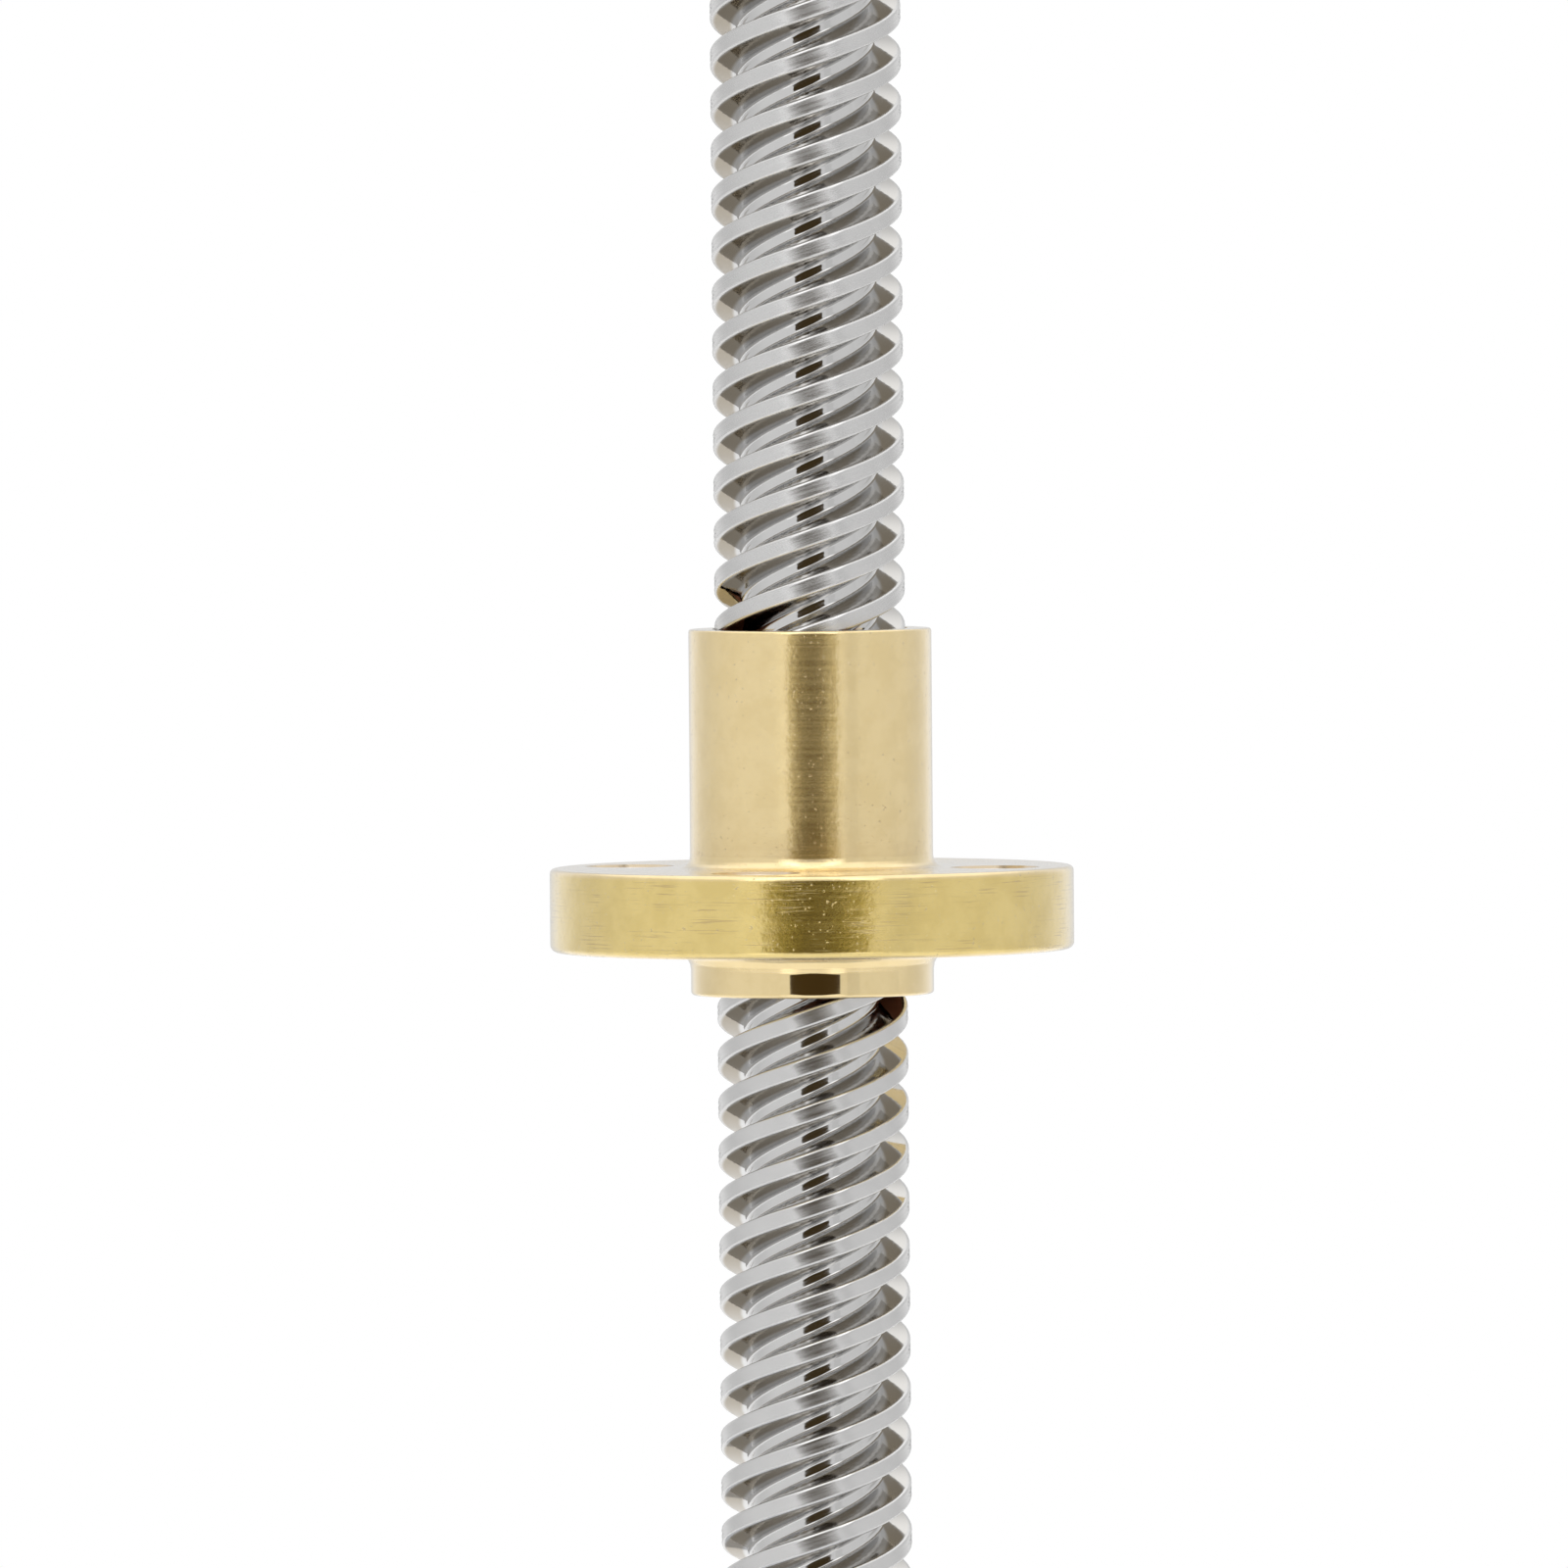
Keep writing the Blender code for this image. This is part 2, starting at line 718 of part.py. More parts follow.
def rotor_core_mesh(name, low, high, turn):
    half = TOOTH_WIDTH / 2
    outline = []
    for tooth in range(ROTOR_TEETH):
        middle = turn + tooth * TOOTH_PITCH
        outline.append(polar(ROTOR_TIP_RADIUS, middle - half))
        outline.append(polar(ROTOR_TIP_RADIUS, middle + half))
        outline.append(polar(ROTOR_ROOT_RADIUS, middle + half))
        outline.append(polar(ROTOR_ROOT_RADIUS, middle + TOOTH_PITCH - half))
    return prism_mesh(name, outline, low, high)


def make_rotor(core_finish, magnet_finish, spacer_finish, rotor_axis):
    """Two toothed cores half a tooth apart, with the magnet between them, and their spacers."""
    middle = STACK_MIDDLE
    magnet_half = MAGNET_LENGTH / 2
    near = magnet_half + ROTOR_GAP
    far = near + ROTOR_CORE_LENGTH
    for name, low, high, turn in (
        ("rotor_core_rear", middle - far, middle - near, 0.0),
        ("rotor_core_front", middle + near, middle + far, TOOTH_PITCH / 2),
    ):
        core = add_object(name, rotor_core_mesh(name, low, high, turn), core_finish, rotor_axis)
        bore = prism_mesh(f"{name}_bore", circle(ROTOR_BORE, 24), low - 1, high + 1)
        combine(core, f"{name}_bore", [bore])
    magnet = tube_mesh(
        "rotor_magnet", ROTOR_BORE, MAGNET_RADIUS, middle - magnet_half, middle + magnet_half, 32
    )
    add_object("rotor_magnet", magnet, magnet_finish, rotor_axis)
    rear_low = REAR_BEARING_Z + BEARING_WIDTH + ROTOR_GAP
    front_high = FRONT_BEARING_Z - ROTOR_GAP
    for name, low, high in (
        ("rotor_spacer_rear", rear_low, middle - far - ROTOR_GAP),
        ("rotor_spacer_front", middle + far + ROTOR_GAP, front_high),
    ):
        spacer = tube_mesh(name, ROTOR_BORE, SPACER_RADIUS, low, high)
        add_object(name, spacer, spacer_finish, rotor_axis)


def thread_mesh(name, major, minor, slack, low, high, end_radius):
    """A solid four-start right-hand thread form, built ring by ring up the helix.

    Slack widens each ridge by that many degrees on both sides, for the cutter that makes the nut.
    end_radius is the largest radius at the top ring, which makes the chamfer.
    """
    share = 360 / THREAD_STARTS
    crest = CREST_SHARE * share / 2 + slack
    root = share / 2 - ROOT_SHARE * share / 2 + slack
    corners = [(-root, minor), (-crest, major), (crest, major), (root, minor)]
    ring_rise = THREAD_LEAD / STEPS_PER_TURN
    ring_count = round((high - low) / ring_rise) + 1
    size = THREAD_STARTS * len(corners)
    points = []
    for ring in range(ring_count):
        z = low + ring * ring_rise
        turn = THREAD_PHASE + 360 * z / THREAD_LEAD
        limit = end_radius if ring == ring_count - 1 else major
        for start in range(THREAD_STARTS):
            for offset, radius in corners:
                x, y = polar(min(radius, limit), turn + start * share + offset)
                points.append((x, y, z))
    faces = [list(reversed(range(size)))]
    for ring in range(ring_count - 1):
        for step in range(size):
            here = ring * size + step
            after = ring * size + (step + 1) % size
            faces.append([here, after, here + size])
            faces.append([after, after + size, here + size])
    last = (ring_count - 1) * size
    faces.append([last + step for step in range(size)])
    mesh = mesh_of(name, points, faces)
    smooth(mesh, 25.0)
    return mesh


def make_lead_screw(finish, rotor_axis):
    thread = thread_mesh(
        "lead_screw",
        SCREW_MAJOR,
        SCREW_MINOR,
        0.0,
        THREAD_BOTTOM,
        SCREW_TOP,
        SCREW_MAJOR - SCREW_END_CHAMFER,
    )
    screw = add_object("lead_screw", thread, finish, rotor_axis)
    collar_low = FRONT_BEARING_Z + BEARING_WIDTH + ROTOR_GAP
    journal = turned_mesh(
        "screw_journal",
        [
            (0, JOURNAL_BOTTOM),
            (JOURNAL_RADIUS - 0.3, JOURNAL_BOTTOM),
            (JOURNAL_RADIUS, JOURNAL_BOTTOM + 0.3),
            (JOURNAL_RADIUS, collar_low),
            (COLLAR_RADIUS, collar_low),
            (COLLAR_RADIUS, THREAD_BOTTOM + 0.6),
            (0, THREAD_BOTTOM + 0.6),
        ],
        24,
    )
    combine(screw, "screw_journal", [journal], "UNION")


def make_nut(finish):
    """The nut's own origin is on the screw's axis, at the underside of its flange."""
    barrel_top = NUT_FLANGE_THICKNESS + NUT_BARREL_LENGTH
    boss_corner = (NUT_BARREL_RADIUS + NUT_BOSS_FILLET, -NUT_BOSS_FILLET)
    barrel_corner = (NUT_BARREL_RADIUS + NUT_BARREL_FILLET, NUT_FLANGE_THICKNESS + NUT_BARREL_FILLET)
    profile = [
        (0, -NUT_BOSS_LENGTH),
        (NUT_BARREL_RADIUS - NUT_END_CHAMFER, -NUT_BOSS_LENGTH),
        (NUT_BARREL_RADIUS, NUT_END_CHAMFER - NUT_BOSS_LENGTH),
        *arc(boss_corner, NUT_BOSS_FILLET, 180, 90),
        (NUT_FLANGE_RADIUS - NUT_CHAMFER, 0),
        (NUT_FLANGE_RADIUS, NUT_CHAMFER),
        (NUT_FLANGE_RADIUS, NUT_FLANGE_THICKNESS - NUT_CHAMFER),
        (NUT_FLANGE_RADIUS - NUT_CHAMFER, NUT_FLANGE_THICKNESS),
        *arc(barrel_corner, NUT_BARREL_FILLET, 270, 180),
        (NUT_BARREL_RADIUS, barrel_top - NUT_END_CHAMFER),
        (NUT_BARREL_RADIUS - NUT_END_CHAMFER, barrel_top),
        (0, barrel_top),
    ]
    place = (0, 0, NUT_Z)
    body = turned_mesh("lead_nut", profile, NUT_SEGMENTS)
    nut = add_object("lead_nut", body, finish, location=place)
    overrun = THREAD_LEAD / STEPS_PER_TURN
    low = math.floor((-NUT_BOSS_LENGTH - 1) / overrun) * overrun
    high = math.ceil((barrel_top + 1) / overrun) * overrun
    thread = thread_mesh(
        "nut_thread", NUT_THREAD_MAJOR, NUT_THREAD_MINOR, NUT_THREAD_SLACK, low, high, NUT_THREAD_MAJOR
    )
    holes = []
    for index in range(4):
        centre = polar(NUT_HOLE_CIRCLE, NUT_HOLE_ANGLE + 90 * index)
        outline = circle(NUT_HOLE_RADIUS, 20, centre)
        holes.append(prism_mesh("nut_hole", outline, -1, NUT_FLANGE_THICKNESS + 1))
    combine(nut, "nut_thread", [thread], location=place)
    combine(nut, "nut_holes", holes, location=place)


def main():
    clear_scene()
    cast = material("cast_aluminium", (0.62, 0.63, 0.65), 0.45, 1.0)
    laminations = material("black_laminations", (0.05, 0.05, 0.055), 0.45, 0.3)
    insulator = material("white_insulator", (0.85, 0.84, 0.8), 0.5, 0.0)
    enamel = material("enamelled_copper", (0.72, 0.32, 0.13), 0.35, 1.0)
    board = material("green_board", (0.05, 0.25, 0.12), 0.45, 0.0)
    nylon = material("ivory_nylon", (0.9, 0.88, 0.8), 0.45, 0.0)
    tin = material("tinned_pin", (0.8, 0.8, 0.78), 0.3, 1.0)
    fastener = material("zinc_screw", (0.6, 0.6, 0.62), 0.35, 1.0)
    bearing_steel = material("bearing_steel", (0.66, 0.66, 0.67), 0.2, 1.0)
    shield_steel = material("shield_steel", (0.6, 0.6, 0.6), 0.35, 1.0)
    core_steel = material("rotor_steel", (0.4, 0.4, 0.41), 0.4, 1.0)
    magnet = material("dark_magnet", (0.18, 0.18, 0.19), 0.5, 0.6)
    stainless = material("stainless_screw", (0.74, 0.73, 0.71), 0.22, 1.0)
    brass = material("nut_brass", (0.83, 0.67, 0.36), 0.28, 1.0)

    rotor_axis = bpy.data.objects.new("rotor_axis", None)
    bpy.context.scene.collection.objects.link(rotor_axis)

    make_front_bell(cast)
    make_rear_bell(cast)
    make_stator(laminations)
    make_bobbin("front_bobbin", insulator, STACK_TOP, 1)
    make_bobbin("rear_bobbin", insulator, STACK_BOTTOM, -1)
    make_coils(enamel)
    make_terminal_board(board)
    make_connector(nylon, tin)
    make_case_screws(fastener)
    steels = (bearing_steel, shield_steel)
    make_bearing("rear", REAR_BEARING_Z, steels, rotor_axis)
    make_bearing("front", FRONT_BEARING_Z, steels, rotor_axis)
    make_wave_washer(bearing_steel)
    make_rotor(core_steel, magnet, bearing_steel, rotor_axis)
    make_lead_screw(stainless, rotor_axis)
    make_nut(brass)


main()
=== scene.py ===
"""The looks of a NEMA 17 stepper motor with a T8 lead screw and a flanged nut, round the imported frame."""

import json
import math
import random

import bmesh
import bpy
from mathutils import Matrix, Quaternion, Vector


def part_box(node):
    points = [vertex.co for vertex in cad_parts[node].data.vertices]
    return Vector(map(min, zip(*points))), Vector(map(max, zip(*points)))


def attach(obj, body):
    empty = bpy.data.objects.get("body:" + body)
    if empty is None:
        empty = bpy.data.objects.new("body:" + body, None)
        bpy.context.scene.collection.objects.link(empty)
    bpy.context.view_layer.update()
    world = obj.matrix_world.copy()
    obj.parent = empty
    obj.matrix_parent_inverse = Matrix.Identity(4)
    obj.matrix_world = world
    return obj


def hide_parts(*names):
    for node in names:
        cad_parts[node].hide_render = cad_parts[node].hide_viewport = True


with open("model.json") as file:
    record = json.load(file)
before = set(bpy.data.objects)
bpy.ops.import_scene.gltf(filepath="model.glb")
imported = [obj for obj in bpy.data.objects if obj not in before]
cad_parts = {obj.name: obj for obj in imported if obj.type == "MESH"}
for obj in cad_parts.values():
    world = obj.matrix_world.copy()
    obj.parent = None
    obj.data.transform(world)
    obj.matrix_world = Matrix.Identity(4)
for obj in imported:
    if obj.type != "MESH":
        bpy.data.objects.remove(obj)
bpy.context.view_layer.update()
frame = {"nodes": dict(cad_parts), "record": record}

MM = 0.001

# Camera: a long lens, slightly above the nut and rolled a little clockwise
CAMERA_DISTANCE = 0.85
CAMERA_LENS = 465.0
CAMERA_TILT = 1.78
CAMERA_ROLL = -0.45
CAMERA_TARGET = (-1.133, 0.0, 86.975)

# Thread, in millimetres: four starts, pitch 2, lead 8, right-hand
STARTS = 4
PITCH = 2.0
LEAD = 8.0
MAJOR = 4.0
MINOR = 2.75
CREST_HALF = 0.366
ROOT_HALF = 0.299
CREST_FILLET = 0.13
ROOT_FILLET = 0.17
THREAD_PHASE = 28.4
RINGS_PER_TURN = 48
RUNOUT_RADIUS = 3.3
JOURNAL_RADIUS = 2.5
THREAD_BOTTOM = 39.6
THREAD_RUNOUT = 1.6
SCREW_END_CHAMFER = 0.7

# Nut, in millimetres, from the underside of its flange
NUT_BASE = 80.0
FLANGE_RADIUS = 11.0
FLANGE_THICKNESS = 3.5
BARREL_RADIUS = 5.1
BARREL_LENGTH = 10.0
BOSS_LENGTH = 1.85
BORE_ROOT = 3.0
THREAD_SLACK = 0.07
CREST_SLACK = 0.12
HOLE_CIRCLE = 8.0
HOLE_RADIUS = 1.75
HOLE_ANGLE = -106.8
HOLE_EDGE = 0.15

# Motor, in millimetres
FACE_HEIGHT = 40.0
CORNER_CUT = 4.5
CORNER_RADIUS = 0.7
EDGE_CHAMFER = 0.35
SEAM_CHAMFER = 0.12
PILOT_RADIUS = 11.0
PILOT_HEIGHT = 2.0
PILOT_CHAMFER = 0.4
CAVITY_RADIUS = 19.55
BEARING_SEAT_RADIUS = 8.15
SHAFT_HOLE_RADIUS = 4.8
SCREW_SPACING = 31.0
SCREW_CLEARANCE_RADIUS = 1.7
TAPPED_DEPTH = 4.5
SCREW_THREAD_PITCH = 0.5
SHEET_THICKNESS = 0.5
POLES = 8
TEETH_PER_POLE = 6
TOOTH_PITCH = 7.2
TOOTH_WIDTH = 3.1
PIN_HALF = 0.25

# Studio, in degrees: the dark gap that the metals reflect, round the camera
GAP_LEFT = -21.5
GAP_RIGHT = 26.2
GAP_TOP = 14.0
GAP_COLOUR = (0.064, 0.043, 0.018)


def polar(radius, degrees):
    angle = math.radians(degrees)
    return (radius * math.cos(angle), radius * math.sin(angle))


# ---------------------------------------------------------------- mesh helpers


def object_of(name, points, faces, smooth_angle=35.0):
    """A new object from points in millimetres, with faces turned outwards."""
    mesh = bpy.data.meshes.new(name)
    mesh.from_pydata([Vector(point) * MM for point in points], [], faces)
    form = bmesh.new()
    form.from_mesh(mesh)
    bmesh.ops.recalc_face_normals(form, faces=form.faces)
    form.to_mesh(mesh)
    form.free()
    mesh.shade_smooth()
    mesh.set_sharp_from_angle(angle=math.radians(smooth_angle))
    made = bpy.data.objects.new(name, mesh)
    bpy.context.scene.collection.objects.link(made)
    return made


def grid_faces(ring_count, size, closed=False):
    """Quads between rings of equal size; closed joins the last ring to the first."""
    faces = []
    for ring in range(ring_count if closed else ring_count - 1):
        base = ring * size
        above = ((ring + 1) % ring_count) * size
        for step in range(size):
            after = (step + 1) % size
            faces.append([base + step, base + after, above + after, above + step])
    return faces


def end_faces(ring_count, size):
    """The two faces that close the first and the last ring."""
    last = (ring_count - 1) * size
    return [list(range(size)), list(range(last, last + size))]


def lathe(name, outline, segments=128, smooth_angle=35.0):
    """Turn an outline of (radius, z) about Z. One that starts and ends on the axis is solid, else a ring."""
    points = []
    solid = outline[0][0] == 0
    inner = outline[1:-1] if solid else outline
    for radius, z in inner:
        for step in range(segments):
            x, y = polar(radius, 360 * step / segments)
            points.append((x, y, z))
    faces = grid_faces(len(inner), segments, closed=not solid)
    if solid:
        faces += end_faces(len(inner), segments)
    return object_of(name, points, faces, smooth_angle)


def stack(name, layers, smooth_angle=35.0):
    """A solid through outlines of equal size at rising heights, as (outline, z)."""
    size = len(layers[0][0])
    points = [(x, y, z) for outline, z in layers for x, y in outline]
    faces = grid_faces(len(layers), size) + end_faces(len(layers), size)
    return object_of(name, points, faces, smooth_angle)


def prism(name, outline, low, high, smooth_angle=35.0):
    return stack(name, [(outline, low), (outline, high)], smooth_angle)


def block(name, low, high, bevel=0.0):
    """A box between two corners, with its edges rounded by the bevel."""
    left, front, bottom = low
    right, back, top = high
    made = prism(name, [(left, front), (right, front), (right, back), (left, back)], bottom, top)
    if bevel:
        form = bmesh.new()
        form.from_mesh(made.data)
        bmesh.ops.bevel(
            form, geom=form.edges[:], offset=bevel * MM, segments=3, profile=0.5, affect="EDGES"
        )
        form.to_mesh(made.data)
        form.free()
    return made


def rounded(corners, segments=5, closed=False):
    """Replace each (a, b, radius) corner of a polyline by an arc of that radius; radius 0 keeps the point."""
    made = []
    count = len(corners)
    for index, (a, b, radius) in enumerate(corners):
        ends = not closed and index in (0, count - 1)
        if radius == 0 or ends:
            made.append((a, b))
            continue
        here = Vector((a, b))
        before = (Vector(corners[index - 1][:2]) - here).normalized()
        after = (Vector(corners[(index + 1) % count][:2]) - here).normalized()
        half = before.angle(after) / 2
        reach = radius / math.tan(half)
        centre = here + (before + after).normalized() * (radius / math.sin(half))
        start = here + before * reach - centre
        end = here + after * reach - centre
        turn = start.angle_signed(end)
        for step in range(segments + 1):
            point = centre + Matrix.Rotation(-turn * step / segments, 2) @ start
            made.append((point.x, point.y))
    return made


def supported(outline, edge=0.05):
    """Add a point just inside both ends of each straight, so that smooth shading keeps the straight flat."""
    made = []
    for (a, b), (c, d) in zip(outline, outline[1:]):
        length = math.dist((a, b), (c, d))
        made.append((a, b))
        if length > 3 * edge:
            part = edge / length
            made.append((a + (c - a) * part, b + (d - b) * part))
            made.append((c + (a - c) * part, d + (b - d) * part))
    return made + [outline[-1]]


def cut(target, tools, operation="DIFFERENCE"):
    """Apply a Boolean of each tool to the target, and remove the tools."""
    for tool in tools:
        boolean = target.modifiers.new("cut", "BOOLEAN")
        boolean.operation = operation
        boolean.object = tool
    bpy.context.view_layer.update()
    depsgraph = bpy.context.evaluated_depsgraph_get()
    mesh = bpy.data.meshes.new_from_object(target.evaluated_get(depsgraph))
    target.modifiers.clear()
    target.data = mesh
    for tool in tools:
        bpy.data.objects.remove(tool)
    return target


def sharpen(target, angle=35.0):
    target.data.shade_smooth()
    target.data.set_sharp_from_angle(angle=math.radians(angle))
    return target


def finish_piece(piece, material, body, slot, *nodes):
    """Give a piece its material and body, and hide the CAD nodes that it stands for."""
    piece.data.materials.clear()
    piece.data.materials.append(material)
    weighted = piece.modifiers.new("flat_faces_lead", "WEIGHTED_NORMAL")
    weighted.keep_sharp = True
    weighted.mode = "FACE_AREA_WITH_ANGLE"
    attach(piece, body)
    if nodes:
        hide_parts(*nodes)
    return piece


# ---------------------------------------------------------------- material helpers


class Nodes:
    """Short calls for building a node tree."""

    def __init__(self, tree):
        self.tree = tree

    def node(self, kind, **settings):
        made = self.tree.nodes.new(kind)
        for key, value in settings.items():
            setattr(made, key, value)
        return made

    def feed(self, socket, value):
        """Link an output to a socket, or set the socket to a plain number or colour."""
        if isinstance(value, bpy.types.NodeSocket):
            self.tree.links.new(value, socket)
        elif isinstance(value, tuple) and socket.type == "RGBA":
            socket.default_value = (*value, 1.0)
        elif value is not None:
            socket.default_value = value

    def math(self, operation, *values):
        made = self.node("ShaderNodeMath", operation=operation)
        for socket, value in zip(made.inputs, values):
            self.feed(socket, value)
        return made.outputs[0]

    def add(self, first, *others):
        for other in others:
            first = self.math("ADD", first, other)
        return first

    def times(self, first, *others):
        for other in others:
            first = self.math("MULTIPLY", first, other)
        return first

    def split(self, vector):
        made = self.node("ShaderNodeSeparateXYZ")
        self.feed(made.inputs[0], vector)
        return made.outputs[0], made.outputs[1], made.outputs[2]

    def vector(self, x, y, z):
        made = self.node("ShaderNodeCombineXYZ")
        for socket, value in zip(made.inputs, (x, y, z)):
            self.feed(socket, value)
        return made.outputs[0]

    def noise(self, vector, scale, detail=3.0, roughness=0.5):
        made = self.node("ShaderNodeTexNoise")
        self.feed(made.inputs["Vector"], vector)
        made.inputs["Scale"].default_value = scale
        made.inputs["Detail"].default_value = detail
        made.inputs["Roughness"].default_value = roughness
        return made.outputs[0]

    def ramp(self, value, from_low, from_high, to_low=0.0, to_high=1.0, kind="SMOOTHSTEP"):
        made = self.node("ShaderNodeMapRange", interpolation_type=kind)
        for socket, limit in zip(made.inputs, (value, from_low, from_high, to_low, to_high)):
            self.feed(socket, limit)
        return made.outputs[0]

    def window(self, value, low, high, soft):
        """1 between low and high, falling to 0 over the soft width at each side."""
        rise = self.ramp(value, low - soft / 2, low + soft / 2)
        fall = self.ramp(value, high - soft / 2, high + soft / 2, 1.0, 0.0)
        return self.times(rise, fall)

    def mix(self, factor, first, second):
        """Mix two colours."""
        made = self.node("ShaderNodeMix", data_type="RGBA")
        self.feed(made.inputs[0], factor)
        self.feed(made.inputs[6], first)
        self.feed(made.inputs[7], second)
        return made.outputs[2]


class Finish(Nodes):
    """One material round a Principled shader, with coordinates in millimetres."""

    def __init__(self, name, colour, metallic, roughness):
        self.material = bpy.data.materials.new(name)
        self.material.use_nodes = True
        super().__init__(self.material.node_tree)
        self.shader = self.tree.nodes["Principled BSDF"]
        self.set(Base_Color=colour, Metallic=metallic, Roughness=roughness)
        self.material.diffuse_color = (*colour, 1.0)

    def set(self, **sockets):
        for name, value in sockets.items():
            self.feed(self.shader.inputs[name.replace("_", " ")], value)
        return self.material

    def position(self):
        coordinates = self.node("ShaderNodeTexCoord").outputs["Object"]
        x, y, z = self.split(coordinates)
        return self.times(x, 1 / MM), self.times(y, 1 / MM), self.times(z, 1 / MM)

    def radius(self, x, y):
        return self.math("SQRT", self.add(self.times(x, x), self.times(y, y)))

    def bump(self, height, strength, distance, base=None):
        made = self.node("ShaderNodeBump")
        made.inputs["Strength"].default_value = strength
        made.inputs["Distance"].default_value = distance * MM
        self.feed(made.inputs["Height"], height)
        self.feed(made.inputs["Normal"], base)
        return made.outputs[0]


def turned_coordinates(finish, around=0.02):
    """Radius, height and a little of the way round: noise on these makes lathe marks on any turned face."""
    x, y, z = finish.position()
    radius = finish.radius(x, y)
    angle = finish.math("ARCTAN2", y, x)
    return radius, z, finish.vector(radius, z, finish.times(angle, around))


def screw_steel():
    """Rolled stainless thread: satin crests, smoother below the nut, bright roots, and flanks with painted
    shade: dark brown where they face down.
    """
    finish = Finish("screw_steel", (0.55, 0.548, 0.545), 1.0, 0.2)
    x, y, z = finish.position()
    radius = finish.radius(x, y)
    turn = finish.math("ARCTAN2", y, x)
    rise = finish.add(z, finish.times(turn, -LEAD / (2 * math.pi)))
    phase = finish.add(rise, LEAD * THREAD_PHASE / 360 - PITCH / 2)
    crest = finish.ramp(radius, 3.75, 3.95)
    flank_band = finish.window(radius, 3.1, 3.85, 0.2)
    offset = finish.math("SUBTRACT", finish.math("FLOORED_MODULO", phase, PITCH), PITCH / 2)
    facing_down = finish.ramp(offset, -0.05, 0.05, 1.0, 0.0)
    along = finish.vector(finish.times(rise, 9.0), finish.times(radius, 9.0), finish.times(z, 0.6))
    streaks = finish.noise(along, 1.0, 2.0, 0.5)
    blotches = finish.noise(finish.vector(x, y, z), 0.9, 3.0)
    steel = finish.mix(blotches, (0.53, 0.528, 0.525), (0.585, 0.58, 0.575))
    # Painted shade: the flanks that face down are painted dark brown; those that face up stay near the
    # steel's own tone.
    painted_flank_shade = finish.mix(facing_down, (0.57, 0.555, 0.53), (0.30, 0.26, 0.20))
    tint = finish.mix(flank_band, steel, painted_flank_shade)
    matt = finish.ramp(z, NUT_BASE - 2.0, NUT_BASE + 14.0, 0.20, 0.26)
    streaky = finish.ramp(streaks, 0.3, 0.7, -0.03, 0.04)
    rough = finish.add(finish.ramp(crest, 0.0, 1.0, 0.07, matt), streaky)
    fine = finish.bump(streaks, 0.015, 0.02)
    return finish.set(
        Base_Color=tint, Roughness=rough, Normal=fine, Anisotropic=0.75, Anisotropic_Rotation=0.25
    )


def hole_distance(finish, x, y):
    """How far a point is from the nearest of the flange's four hole axes."""
    turn = math.radians(HOLE_ANGLE)
    cos, sin = math.cos(turn), math.sin(turn)
    along = finish.math("ABSOLUTE", finish.add(finish.times(x, cos), finish.times(y, sin)))
    across = finish.math("ABSOLUTE", finish.add(finish.times(y, cos), finish.times(x, -sin)))
    far = finish.add(finish.math("MAXIMUM", along, across), -HOLE_CIRCLE)
    near = finish.math("MINIMUM", along, across)
    return finish.radius(far, near)


